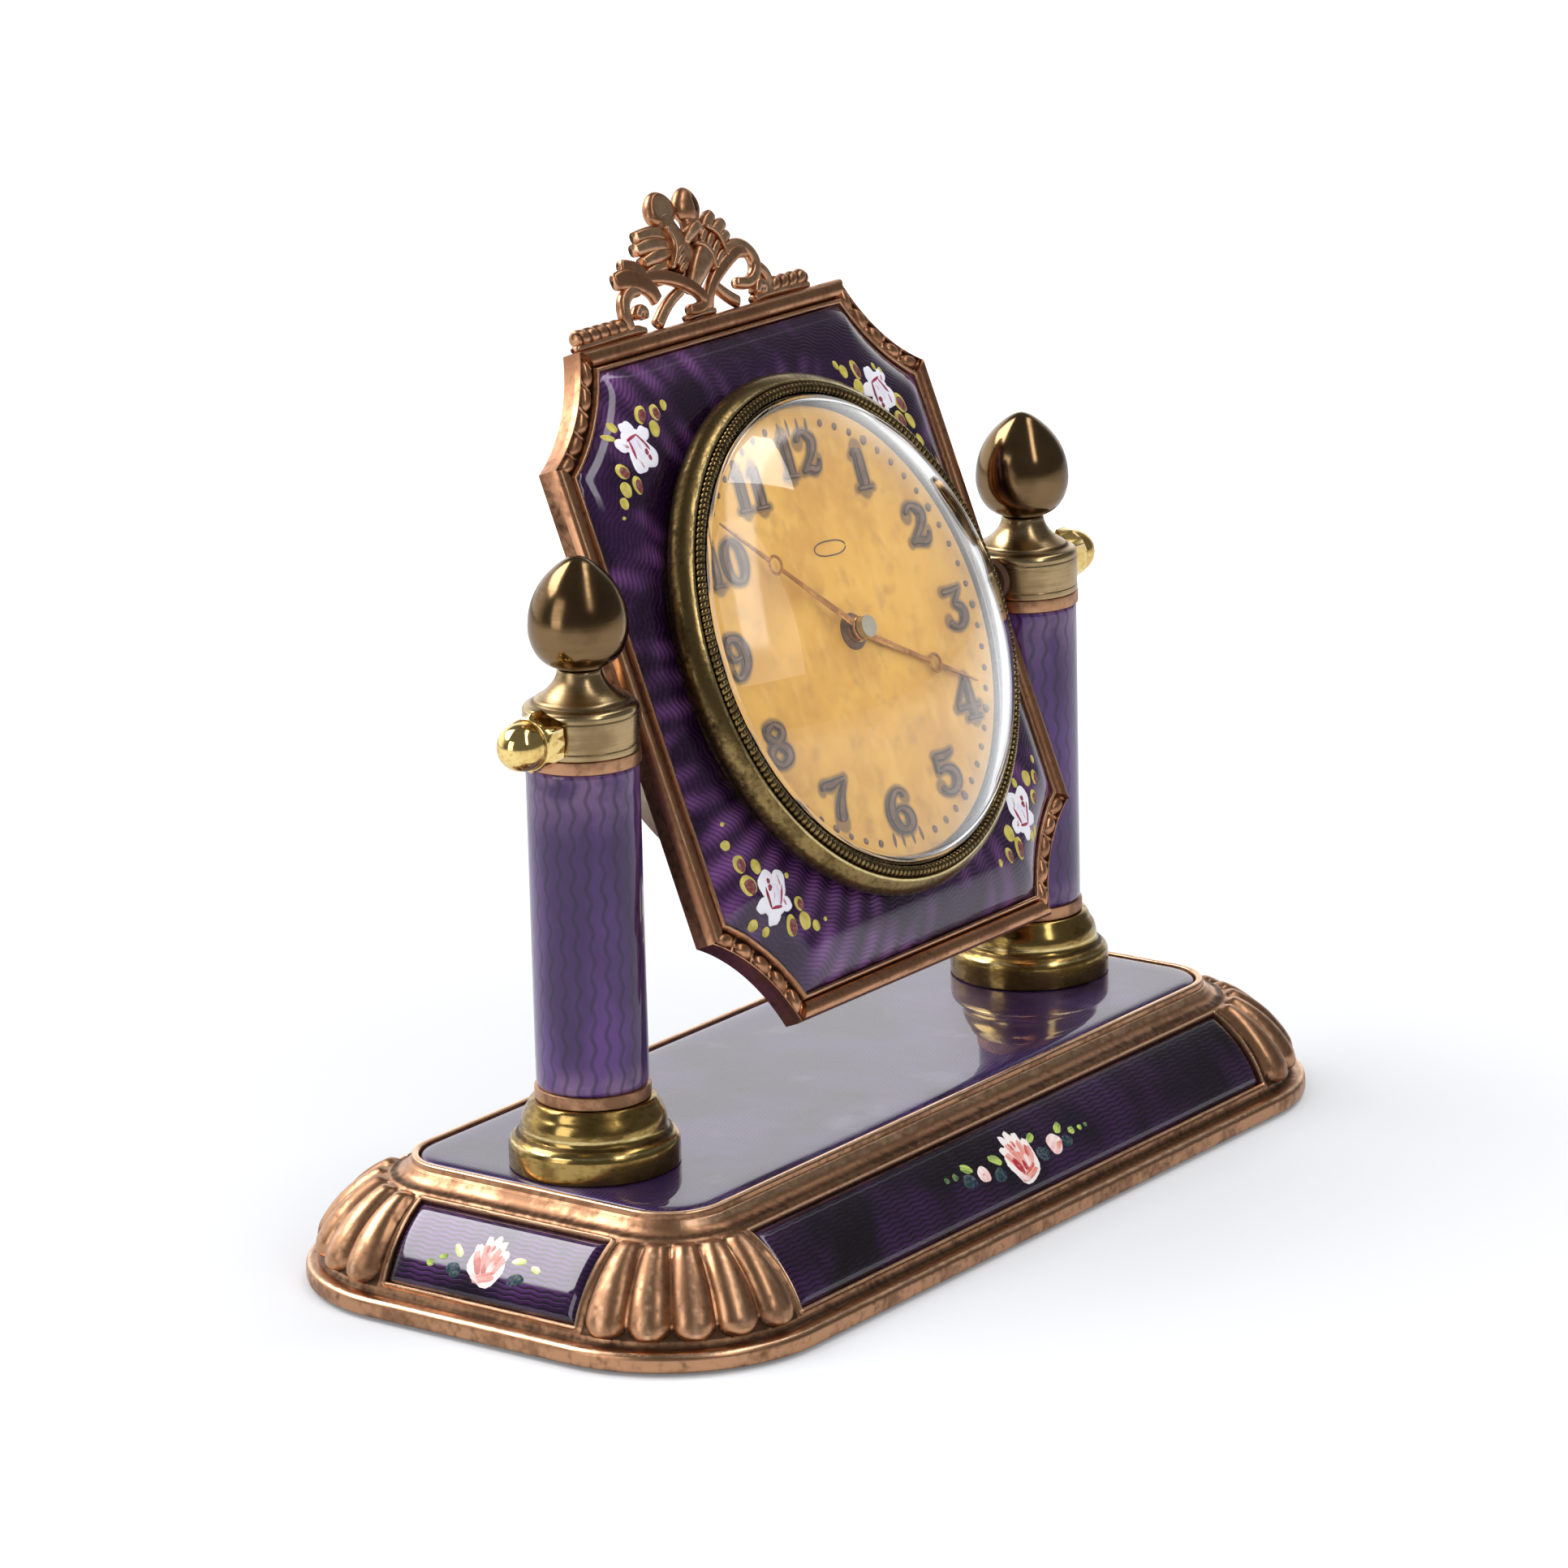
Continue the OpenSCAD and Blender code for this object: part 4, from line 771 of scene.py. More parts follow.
def along(thick, *line, ridge=0.0):
    """A strap along a soft line of places and widths: oval in section, thick outward, rounded off at both ends;
    ridge lifts or sinks a rib down its middle."""
    line = np.array(line)
    p = rounded(line[:, :3], 3)
    t = np.linspace(0, 1, len(p))
    wide = np.interp(t, np.linspace(0, 1, len(line)), line[:, 3])
    end = np.sqrt(np.clip(np.minimum(t, 1 - t) / 0.08, 0, 1))
    a = circle(14)
    tall = squared(np.sin(a), 0.8) + ridge * hump(np.cos(a), 0, 0.25) * (np.sin(a) > 0)
    u, v = beside(p[:, :2], (wide * end)[:, None] * squared(np.cos(a), 0.8) / 2)
    w = p[:, 2:3] + (thick / 2 * np.clip(end, 0.15, 1))[:, None] * tall
    # the crown of each strap is marked rubbed; its underside toward the plate is darkened, painted shade
    return tube(leaned(u, v, w), worn=np.clip(tall, 0, 1) ** 4 * 0.8 + 0 * w,
                dark=np.clip(0.2 - tall, 0, 1) * 0.9 + 0 * w)


def bud(centre, size, w, turn, slots):
    """A bud: an oval ball drawn to a blunt tip, with a pressed hollow or a rubbed flat on its face."""
    a, b = np.meshgrid(np.linspace(0, math.pi, 25), circle(40), indexing="ij")
    u, v, out = np.sin(a) * np.cos(b), -np.cos(a), np.sin(a) * np.sin(b)
    front = soft_step(out, 0.0, 0.5)
    dent = slots * hump(u - 0.42 + 0.2 * v, 0, 0.24) * np.exp(-((v + 0.1) / 0.6) ** 4) * front
    flat = (1 - slots) * np.clip(out - 0.62 + 0.1 * v, 0, 1)
    out = out - 0.42 * dent - 0.85 * flat
    c, s = cos_sin(turn)
    x, y = u * size[0] * (1 - 0.18 * v), v * size[1]
    return sheet(leaned(centre[0] + x * c - y * s, centre[1] + x * s + y * c, w + out * size[2]), (False, True),
                 dark=np.clip(dent * 1.2, 0, 1), worn=np.clip(flat * 6, 0, 1) * 0.9)


def rope(u0, u1):
    """A rope bar from u0 to u1: a round rod whose radius swells in slanting strands, with tapered ends."""
    v, w, radius, pitch, taper = 37.9, -1.0, 0.95, 1.55, 0.5
    t = np.linspace(0, 1, 110)[:, None]
    a = circle(24)[None]
    length = abs(u1 - u0)
    strand = np.abs(np.cos(math.pi * length * t / pitch + a / 2 + 0.6))
    end = np.sqrt(1 - np.clip(1 - np.minimum(t, 1 - t) * length / taper, 0, 1) ** 2)
    r = radius * (0.74 + 0.28 * strand ** 0.7) * np.clip(end, 0.02, 1)
    grid = leaned(u0 + (u1 - u0) * t + 0 * a, v + r * np.sin(a), w + r * np.cos(a))
    return sheet(grid, (False, True), dark=np.clip(1.0 - strand * 1.5, 0, 1), worn=np.clip(strand - 0.8, 0, 1) * 3)


crest = [
    # scroll and folded end of the ribbon at the left
    along(1.3, (-13.0, 37.2, -.9, 1.3), (-13.6, 38.9, -.6, 1.5), (-13.2, 40.4, -.5, 1.6), (-11.9, 41.2, -.4, 1.5),
          (-10.4, 41.0, -.4, 1.2)),
    along(1.4, (-11.9, 38.4, -.7, 1.1), (-11.2, 39.2, -.5, 1.3), (-10.5, 38.8, -.5, 1.3), (-10.8, 38.1, -.6, 1.0)),
    along(1.1, (-13.7, 42.5, -.5, 1.6), (-12, 42.6, -.2, 2.3), (-10, 41.9, -.1, 2.3), (-8.4, 40.7, -.2, 2.0),
          (-7.7, 39.4, -.5, 1.6), ridge=-0.3),
    along(1.1, (-11.4, 44.2, -.9, 1.2), (-9.6, 43.4, -.5, 1.7), (-8.3, 42.2, -.4, 1.7), (-7.6, 40.8, -.5, 1.4),
          ridge=-0.2),
    # left band and its strut
    along(1.2, (-9.2, 42.3, -.5, 1.4), (-6.5, 41.9, -.1, 1.6), (-4.3, 41.1, .1, 1.6), (-2.3, 39.9, .2, 1.5),
          (-1.1, 38.8, .2, 1.5), (-.9, 37.8, 0, 1.4), (-2.2, 37.5, -.2, 1.3), (-3.5, 37.7, -.4, 1.1), ridge=-0.25),
    along(1.2, (-8.3, 37.0, -1.1, 1.5), (-6.5, 38.5, -.9, 1.4), (-4.9, 39.4, -.7, 1.3), (-3.6, 39.9, -.4, 1.2)),
    # right band, its strut, its ring and its tail
    along(1.2, (.3, 37.0, -.8, 1.5), (.4, 38.7, -.2, 1.5), (1.8, 40.1, .1, 1.5), (3.4, 41.0, .2, 1.6),
          (5.4, 41.9, .2, 1.6), (7.3, 42.4, 0, 1.5), (9.1, 42.0, -.4, 1.2), ridge=-0.2),
    along(1.1, (1.8, 39.8, -.4, 1.3), (4.0, 38.1, -.7, 1.4), (5.9, 37.1, -1.0, 1.5)),
    along(1.3, (5.0, 42.6, -.4, 1.4), (7.6, 43.2, -.3, 1.6), (9.3, 42.4, -.3, 1.6), (10.2, 40.9, -.4, 1.5),
          (9.7, 39.4, -.6, 1.5), (8.2, 38.7, -.7, 1.4), (6.0, 39.2, -.8, 1.2)),
    along(1.2, (10.0, 40.6, -.5, 1.3), (11.5, 39.3, -.6, 1.4), (11.7, 37.9, -.9, 1.4), (10.8, 37.0, -1.1, 1.4)),
    along(1.4, (8.9, 37.5, -.8, 1.0), (9.6, 38.6, -.6, 1.4), (10.3, 38.1, -.6, 1.4), (10.0, 37.3, -.8, 1.1)),
    # stems and buds
    along(0.9, (-7.2, 41.9, -.8, 1.8), (-3.0, 43.4, -.9, 4.0), (1.0, 43.8, -.9, 4.4), (5.6, 43.2, -.8, 2.4)),
    along(1.5, (-2.2, 39.4, -.3, 1.4), (-1.2, 40.9, .2, 2.3), (.4, 42.3, .4, 3.0), (2.2, 43.4, .3, 3.2)),
    along(1.4, (0.1, 44.3, .3, .5), (1.2, 43.9, .5, .6), (2.1, 42.7, .5, .6), (2.3, 41.0, .3, .5)),
    along(1.7, (-2.6, 48.2, -.7, 3.2), (-2.4, 46.6, -.6, 3.0), (-1.4, 44.6, -.5, 3.2), (0.0, 41.6, -.4, 3.4)),
    along(1.6, (2.1, 48.0, -.8, 3.0), (1.9, 46.2, -.6, 2.8), (1.4, 44.0, -.5, 3.2), (0.6, 41.2, -.4, 3.0)),
    # left leaf: four lobes fanned from its rib, and short scales inside the rib
    along(1.3, (-2.9, 45.4, -.5, 1.7), (-5.0, 46.6, -.3, 1.7), (-8.0, 46.5, -.6, 1.3)),
    along(1.4, (-3.0, 44.6, -.4, 1.6), (-6.0, 45.4, -.1, 1.8), (-8.9, 45.2, -.5, 1.4)),
    along(1.4, (-3.3, 43.9, -.4, 1.5), (-6.0, 44.1, -.1, 1.7), (-8.3, 43.7, -.5, 1.2)),
    along(1.3, (-3.6, 43.0, -.5, 1.3), (-6.0, 42.9, -.3, 1.4), (-8.0, 42.5, -.6, 1.0)),
    along(1.2, (-3.4, 46.8, .1, .5), (-2.9, 45.4, .3, .65), (-3.3, 43.9, .4, .65), (-4.7, 42.3, .2, .5)),
    along(1.1, (-1.7, 44.3, .1, .7), (-2.5, 44.1, .2, .9), (-3.2, 43.4, .1, .7)),
    along(1.1, (-1.9, 43.4, .1, .7), (-2.8, 43.1, .2, .9), (-3.6, 42.5, .1, .7)),
    along(1.1, (-2.0, 42.5, .1, .6), (-2.9, 42.3, .2, .8), (-3.6, 41.8, .1, .6)),
    # right leaves: four ribs inside a curved edge, then four lobes outside it
    along(1.2, (1.2, 43.9, .0, .8), (2.0, 44.8, .1, 1.1), (2.8, 45.3, .0, .8)),
    along(1.2, (1.9, 43.2, .1, .8), (2.8, 44.2, .2, 1.1), (3.6, 44.7, .1, .8)),
    along(1.2, (2.3, 42.3, .1, .8), (3.3, 43.2, .2, 1.1), (4.2, 43.8, .1, .8)),
    along(1.2, (2.5, 41.4, .1, .8), (3.5, 42.2, .2, 1.0), (4.5, 42.7, .1, .7)),
    along(1.2, (2.9, 45.8, .2, .5), (4.2, 44.9, .4, .6), (4.8, 43.6, .4, .6), (4.9, 42.1, .2, .5)),
    along(1.4, (2.6, 44.6, -.6, 1.8), (4.2, 46.2, -.4, 1.8), (5.5, 46.9, -.6, 1.3)),
    along(1.4, (3.4, 43.8, -.5, 1.7), (5.3, 45.3, -.3, 1.8), (6.8, 45.7, -.5, 1.3)),
    along(1.4, (4.0, 43.0, -.5, 1.5), (5.6, 44.1, -.3, 1.5), (6.9, 44.4, -.5, 1.1)),
    along(1.3, (4.2, 42.2, -.5, 1.2), (5.6, 42.9, -.4, 1.3), (6.6, 43.0, -.5, 0.9)),
    # solder under the ropes and feet
    along(1.3, (-22.6, 36.9, -1.1, .7), (-18.0, 37.0, -1.0, 1.0), (-12.2, 37.2, -1.0, 1.2), (-10.6, 36.8, -1.1, .8)),
    along(1.3, (18.6, 36.9, -1.1, .7), (14.5, 37.2, -1.0, 1.3), (9.8, 37.3, -1.0, 1.4), (8.6, 36.8, -1.1, .8)),
    along(1.1, (-3.6, 36.9, -.9, .7), (-1.4, 37.1, -.7, .9), (1.4, 36.9, -.9, .7)),
    along(1.3, (-.9, 44.6, -.2, 1.2), (.2, 45.5, .3, 1.5), (1.4, 46.0, .3, 1.6), (2.1, 45.4, .1, 1.3)),
    bud((-2.4, 48.7), (2.25, 2.05, 1.25), -0.75, 6, 0.0), bud((2.1, 48.4), (1.95, 2.1, 1.2), -0.7, -12, 1.0),
    rope(-22.2, -13.6), rope(18.4, 11.4)]
piece("crest_casting", crest, head_copper, "head", ["crest"], 50)


# Enamelled plate of the head. Its middle is flat and its border rolls down to the fillet. The metal under the clear
# violet is cut with close wavy rings round the dial.
dome_h, dome_run, hole = 2.4, 6.0, 24.95
dome_arc = (dome_run ** 2 + dome_h ** 2) / (2 * dome_h)


def plate_height(u, v):
    """Height of the plate: a circular arc over the first six millimetres in from the fillet, then flat. The
    distance to the fillet, given too, is a soft minimum over rails and hollow corners."""
    corner = np.hypot(np.abs(u) - hollow_u, np.abs(v) - hollow_v) - hollow_r
    sides = np.stack(np.broadcast_arrays(head_w - np.abs(u), head_h - np.abs(v), corner)) - rail
    d = -np.log(np.exp(-sides / 0.45).sum(0)) * 0.45
    run = np.clip(dome_run - np.clip(d, 0, None), 0, dome_run)
    return dome_h - (dome_arc - np.sqrt(dome_arc ** 2 - run ** 2)), d


def plate_rings():
    """Rings of the plate from its border under the fillet to the edge of its hole, and down both edges."""
    border, _ = head_outline(rail + 0.04, 30, 36)
    out, _ = head_outline(rail - 0.45, 30, 36)
    around = np.arctan2(border[:, 1], border[:, 0])
    inner = hole * np.stack([np.cos(around), np.sin(around)], 1)
    t = np.linspace(0, 1, 46)[:, None, None] ** 1.2
    p = border * (1 - t) + inner * t
    w, d = plate_height(p[..., 0], p[..., 1])
    w = np.minimum(w, 0.02 + 20 * t[..., 0])
    edges = [(out, -1.1, 0.0), (out, -0.54, 0.0), (border, -0.54, 0.0), (inner, -1.1, 9.0)]
    rows = [leaned(q[:, 0], q[:, 1], height)[None] for q, height, _ in edges]
    lay = [np.column_stack([q, depth + 0 * q[:, 0]])[None] for q, _, depth in edges]
    rows.insert(3, leaned(p[..., 0], p[..., 1], w))
    lay.insert(3, np.dstack([p, d]))
    return sheet(np.concatenate(rows), (True, True), lay=np.concatenate(lay))


def wavy_rings(m):
    """Rings round the dial centre, half a millimetre apart, whose radius swings in fifty-six waves to a turn. Also 1
    on the flank of each wave that faces the light, where the painted sheen goes, so the waves show as slanting bands
    across the rings."""
    u, v, _ = m.axes(m.mark("lay", 1))
    radius = (u * u + v * v) ** 0.5
    swell = v.sum("ARCTAN2", v, u) * 56 + radius * 0.35
    place = radius + swell.sin() * 0.24
    return m.ease((place * (2 * math.pi / 0.5)).sin(), -0.9, 0.5), (swell + 1.3).sin() * 0.5 + 0.5


head_enamel = enamel("head_enamel", wavy_rings, (36, 11, 44), (60, 28, 74), (142, 88, 158), patch=11.0, film=0.55)
piece("head_plate", [plate_rings()], head_enamel, "head", ["plaque_enamel"], 45)

# Painted sprays on the head: a white rose with crimson lines in each corner, yellow-green leaves, some with a
# purple-brown second leaf laid over them. More paints: leaf, moss, plum, brown, chalk, its shade and madder.
for letter, colour in {"L": (212, 196, 92), "M": (180, 164, 66), "P": (112, 48, 52), "B": (126, 62, 62),
                       "C": (240, 238, 246), "S": (226, 220, 236), "R": (160, 34, 74)}.items():
    paints[letter] = tint(*colour)


def head_place(u, v, height):
    return leaned(u, v, plate_height(u, v)[0] + height)


def white_rose(u, v, turn, mirror, seed):
    """Six fat round petals and a heart, long crimson strokes round it and two plum spots. Each row is middle, half
    length, half width, turn, paints and height."""
    c, s = cos_sin(turn)
    rows = ((-.1, .7, 1.6, 1.55, 90, "CC", .10), (-.85, -1.1, 1.6, 1.15, 80, "CC", .10),
            (.8, -1.15, 1.65, 1.2, 100, "CC", .10), (-1.6, 1.0, .95, .8, 150, "CC", .09),
            (1.6, .9, .95, .8, 30, "CC", .09), (0.1, 2.2, .95, .8, 90, "CC", .09), (.0, .0, 1.6, 1.2, 90, "CS", .14),
            (-.95, .1, 1.35, .17, 75, "RR", .17), (.85, .25, 1.5, .18, 108, "RP", .17),
            (-.15, 1.2, .95, .2, 4, "RR", .17), (.6, -.85, .46, .32, 80, "PR", .19),
            (.7, -1.55, .38, .28, 95, "PR", .19), (-.95, -1.5, .75, .16, 100, "RC", .17),
            (-1.4, .8, .45, .2, 120, "RC", .16), (.1, .2, .8, .08, 84, "RC", .18))
    return [dab((u + mirror * x * c - y * s, v + mirror * x * s + y * c), (length, width),
                turn + (way if mirror > 0 else 180 - way), head_place, pair, high, seed + k, 0.6)
            for k, (x, y, length, width, way, pair, high) in enumerate(rows)]


# by place, turn and hand of each rose: its leaves' middle, half length, half width, turn and whether there are two
posies = {
    (-19.6, 25.3, 12, 1): (
        (-17.6, 28.4, 1.08, .72, -118, 1), (-15.4, 28.2, .95, .75, -75, 1), (-13.7, 28.7, .63, .5, -111, 0),
        (-16.3, 26.6, .94, .78, -93, 0), (-21.3, 28.0, .66, .42, -82, 0), (-22.3, 27.1, .7, .36, -36, 0),
        (-23.0, 23.3, .92, .78, -61, 1), (-21.8, 21.5, 1.05, .7, -91, 1), (-23.6, 21.4, .9, .7, -85, 0),
        (-24.4, 20.1, .69, .5, -82, 0), (-25.0, 18.7, .2, .2, 0, 0)),
    (-22.4, -23.1, 170, 1): (
        (-26.1, -14.3, .25, .24, 0, 0), (-26.5, -16.5, .57, .5, -77, 0), (-25.7, -18.8, 1.01, .68, -88, 1),
        (-23.8, -19.6, .85, .64, -79, 0), (-25.4, -21.2, 1.2, .9, -69, 1), (-19.6, -21.6, .33, .32, 0, 0),
        (-25.4, -25.3, .65, .55, -59, 0), (-23.9, -26.4, .54, .42, -80, 0), (-19.1, -24.8, .82, .68, -76, 1),
        (-18.9, -26.7, 1.02, .76, -83, 0), (-20.8, -26.7, 1.2, .66, -87, 1), (-17.5, -27.6, .65, .54, -77, 0),
        (-15.8, -27.3, .3, .24, 0, 0)),
    (22.0, -24.9, 182, -1): (
        (27.0, -19.8, .49, .34, -94, 0), (24.7, -21.5, .93, .7, -90, 0), (26.3, -21.7, .84, .56, -90, 1),
        (22.4, -21.5, .59, .42, -81, 0), (25.2, -23.7, .84, .66, -78, 1), (18.7, -26.4, 1.01, .78, -73, 0),
        (19.7, -28.3, 1.34, .72, -89, 1), (17.6, -28.6, .97, .58, -71, 1), (15.7, -29.0, .48, .34, -84, 0),
        (24.4, -27.3, .72, .4, -89, 0), (23.3, -27.7, .72, .44, -89, 0)),
    (22.2, 23.6, 18, -1): (
        (16.3, 27.5, .6, .36, -63, 0), (17.3, 26.6, .84, .6, -62, 0), (19.4, 26.4, 1.24, .6, -71, 1),
        (19.0, 24.5, .95, .8, -84, 0), (22.8, 26.2, .49, .3, -72, 0), (23.8, 25.6, .46, .3, -71, 0),
        (25.1, 21.6, 1.32, .8, -62, 1), (24.3, 19.8, 1.17, .7, -70, 1), (25.9, 19.4, 1.04, .55, -64, 0),
        (26.5, 17.1, .82, .44, -63, 0))}
dabs = []
for k, ((u, v, turn, mirror), leaves) in enumerate(posies.items()):
    aside = -2.0 if v > 0 else -1.3
    for n, (a, b, length, width, way, second) in enumerate(leaves):
        a += aside
        dabs.append(dab((a, b), (length, width), way, head_place, "LM", 0.09, 7 * k + n, 0.25, 4))
        if second:
            dabs.append(dab((a + 0.1, b - 0.12), (length * 0.84, width * 0.80), way, head_place, "PB", 0.13,
                            5 * k + n, 0.25, 3))
    dabs += white_rose(u + aside, v, turn, mirror, 11 * k)
piece("rose_sprays_head", dabs, paint, "head", [], 60)


# Bezel. Turned brass with a rolled shoulder and a roped ring rubbed over the glass; its skirt passes through the
# plates and takes the retaining ring behind. Rim and glass sit 2.6 degrees askew, with the left side proud.
askew = 0.045


def skewed(u, v, w):
    """Coordinates of the watch's rim and glass."""
    u, v, w = np.broadcast_arrays(u, v, w)
    c, s = math.cos(askew), math.sin(askew)
    return leaned(u * c + w * s, v, w * c - u * s)


def dial_turned(line, steps, **marks):
    """A profile of radius and height turned once round the rim's axis; marks follow the profile."""
    a = circle(steps)
    return sheet(skewed(line[:, :1] * np.cos(a), line[:, :1] * np.sin(a), line[:, 1:2]), (False, True),
                 **{key: value[:, None] for key, value in marks.items()})


def roped_ring(major, w, minor, strands):
    """A ring whose round section swells in slanting strands, with dark between them."""
    a, b = circle(strands * 8)[:, None], circle(12)[None]
    swell = np.abs(np.cos(strands * a / 2 + 0.5 * b))
    r = minor * (0.76 + 0.28 * swell ** 0.8)
    out = major + r * np.cos(b)
    return sheet(skewed(out * np.cos(a), out * np.sin(a), w + r * np.sin(b)), (True, True),
                 dark=np.clip(1.5 - 1.7 * swell, 0, 1), worn=np.clip(swell - 0.93, 0, 1) * 8)


bezel_line = rounded([[24.04, 3.3], [24.04, -3.7], [24.88, -3.7], [24.88, 1.0], [27.1, 1.0], [27.2, 2.1],
                      [27.9, 2.35], [28.4, 2.8], [28.6, 3.4], [28.52, 4.0], [28.22, 4.55], [27.8, 4.98],
                      [27.45, 5.26], [27.2, 5.4], [27.02, 5.36], [26.94, 5.2], [26.9, 4.9], [26.0, 4.9],
                      [25.76, 5.1], [25.72, 5.5], [25.56, 5.5], [25.5, 5.2], [25.1, 5.2], [25.1, 3.5],
                      [24.7, 3.42]], 1)
bezel_line = np.vstack([bezel_line, bezel_line[:1]])
bezel_r, bezel_w = bezel_line.T
# painted shade: the outer wall darkens toward its foot; painted highlight: a band on the shoulder by the rope
bezel_dark = 0.62 * (1 - soft_step(bezel_w, 3.9, 5.0)) * (bezel_r > 27) + hump(bezel_r, 26.9, 0.14) * (bezel_w > 4.8)
bezel_worn = 0.85 * hump(bezel_r, 27.3, 0.2) * (bezel_w > 4.9)
olive_brass = aged_metal("olive_brass", (150, 126, 80), (108, 88, 54), (40, 30, 20), (228, 208, 150),
                         rough=(0.18, 0.34), patch=4.0, pits=0.012)
bezel = dial_turned(bezel_line, 220, dark=np.clip(bezel_dark, 0, 1), worn=bezel_worn)
piece("bezel_ring", [bezel, roped_ring(26.40, 5.45, 0.56, 240)], olive_brass, "head", ["bezel"], 40)


# Glass. A deep dome, a ball's cap one and a fifth thick on a short upright wall. The shadow rays of lamps pass
# straight through it, so what it covers stays lit.
ball_w, ball_r, glass_r, glass_thick = -23.0, 38.7, 25.4, 1.2


def ball_cap(r, a):
    return np.column_stack([r * np.sin(a), ball_w + r * np.cos(a)])


inner_r = ball_r - glass_thick
glass_line = np.vstack([ball_cap(ball_r, np.linspace(0, math.asin(glass_r / ball_r), 40)),
                        [[glass_r, 5.22], [25.2, 5.21], [24.65, 5.21]],
                        ball_cap(inner_r, np.linspace(math.asin(24.55 / inner_r), 0, 40))])
glass = Finish("clear_glass", {"Base Color": (1, 1, 1, 1), "Roughness": 0.0, "IOR": 1.5, "Transmission Weight": 1.0})
glass.feed(glass.end, 0, glass.node("MixShader", {}, {
    0: glass.ray("Shadow"), 1: Wire(glass, glass.shader.outputs[0]), 2: glass.node("BsdfTransparent")}))
piece("domed_glass", [dial_turned(glass_line, 200)], glass, "head", ["crystal"], 30)


# Dial. A gilt plate gone ochre, stained round the raised figures, the stain also painted as their soft shadow.
# Numbers one to twelve in fat antique figures, a dot for each minute and a bare oval label. It has slipped four
# degrees round and a little aside.
slip_c, slip_s = cos_sin(-4.1)
slip_u, dial_w, dial_r = 0.7, 4.2, 24.1
figure_u, figure_v, figure_high, stroke_wide, slim_figure = 19.2, 19.4, 4.8, 5.4, 0.88
# strokes of each figure: place from its middle and its foot, and width, in shares of its height
nine = np.array([(.28, .78, .22), (.18, .93, .12), (-.02, .95, .14), (-.28, .72, .26), (-.34, .42, .34),
                 (-.22, .16, .28), (0, .05, .14), (.24, .14, .26), (.30, .32, .30), (.20, .50, .20), (-.02, .56, .10),
                 (-.16, .48, .08)])
figures = {
    "1": [[(-.24, .80, .12), (-.05, .93, .16)], [(0, .95, .28), (0, .5, .32), (0, .04, .32)],
          [(-.27, .05, .1), (.27, .05, .1)]],
    "2": [[(-.30, .74, .26), (-.30, .86, .16), (-.1, .98, .12), (.24, .80, .28), (.26, .66, .30), (.10, .42, .20),
           (-.2, .2, .13), (-.36, .08, .12)],
          [(-.36, .10, .14), (-.1, .16, .2), (.14, .08, .22), (.34, .16, .13), (.40, .34, .10)]],
    "3": [[(-.34, .90, .14), (0, .91, .12), (.36, .96, .10)], [(.30, .88, .11), (-.02, .60, .11)],
          [(-.02, .58, .12), (.26, .50, .24), (.30, .28, .30), (.08, .06, .15), (-.22, .08, .12), (-.34, .22, .22)]],
    "4": [[(.10, .96, .11), (-.42, .34, .11)], [(-.44, .30, .14), (.46, .30, .13)],
          [(.14, .96, .2), (.14, .5, .28), (.14, .03, .28)], [(-.14, .04, .1), (.42, .04, .1)]],
    "5": [[(-.30, .92, .12), (-.32, .52, .12)], [(-.30, .88, .18), (.05, .85, .2), (.36, .96, .10)],
          [(-.30, .54, .12), (0, .62, .14), (.28, .50, .26), (.30, .26, .30), (.06, .05, .15), (-.22, .08, .13),
           (-.34, .22, .22)]],
    "6": [nine], "9": [nine * [-1, -1, 1] + [0, 1, 0]],
    "7": [[(-.42, .78, .13), (-.38, .90, .16), (-.1, .86, .22), (.12, .92, .14), (.44, .96, .1)],
          [(.42, .92, .10), (.16, .6, .19), (.02, .3, .3), (-.02, .04, .34)]],
    "8": [[(0, .97, .12), (-.26, .86, .22), (-.26, .68, .22), (0, .54, .2), (.30, .36, .28), (.30, .18, .26),
           (0, .03, .13), (-.32, .16, .26), (-.32, .38, .24), (0, .54, .18), (.26, .68, .2), (.26, .86, .2),
           (0, .97, .12)]],
    "0": [[(0, .97, .13), (-.28, .84, .24), (-.36, .5, .34), (-.28, .16, .24), (0, .03, .13), (.28, .16, .24),
           (.36, .5, .34), (.28, .84, .24), (0, .97, .13)]]}


def figure_strokes():
    """Every stroke as a soft line of dial positions and widths, in millimetres."""
    strokes = []
    for hour in range(1, 13):
        s, c, text = math.sin(math.radians(30 * hour)), math.cos(math.radians(30 * hour)), str(hour)
        step = [2.75 if digit == "1" else 4.2 for digit in text]
        slim = slim_figure if len(text) > 1 else 1.0
        for n, digit in enumerate(text):
            shift = sum(step[:n]) + step[n] / 2 - sum(step) / 2
            for stroke in figures[digit]:
                x, y, wide = np.array(stroke).T
                u = figure_u * s + shift + x * figure_high * slim
                v = figure_v * c + (y - 0.5) * figure_high
                strokes.append(rounded(np.column_stack([u, v, wide * stroke_wide * slim]), 3))
    return strokes


strokes = figure_strokes()


def on_dial(u, v, w):
    return leaned(u * slip_c - v * slip_s - slip_u, u * slip_s + v * slip_c, w)


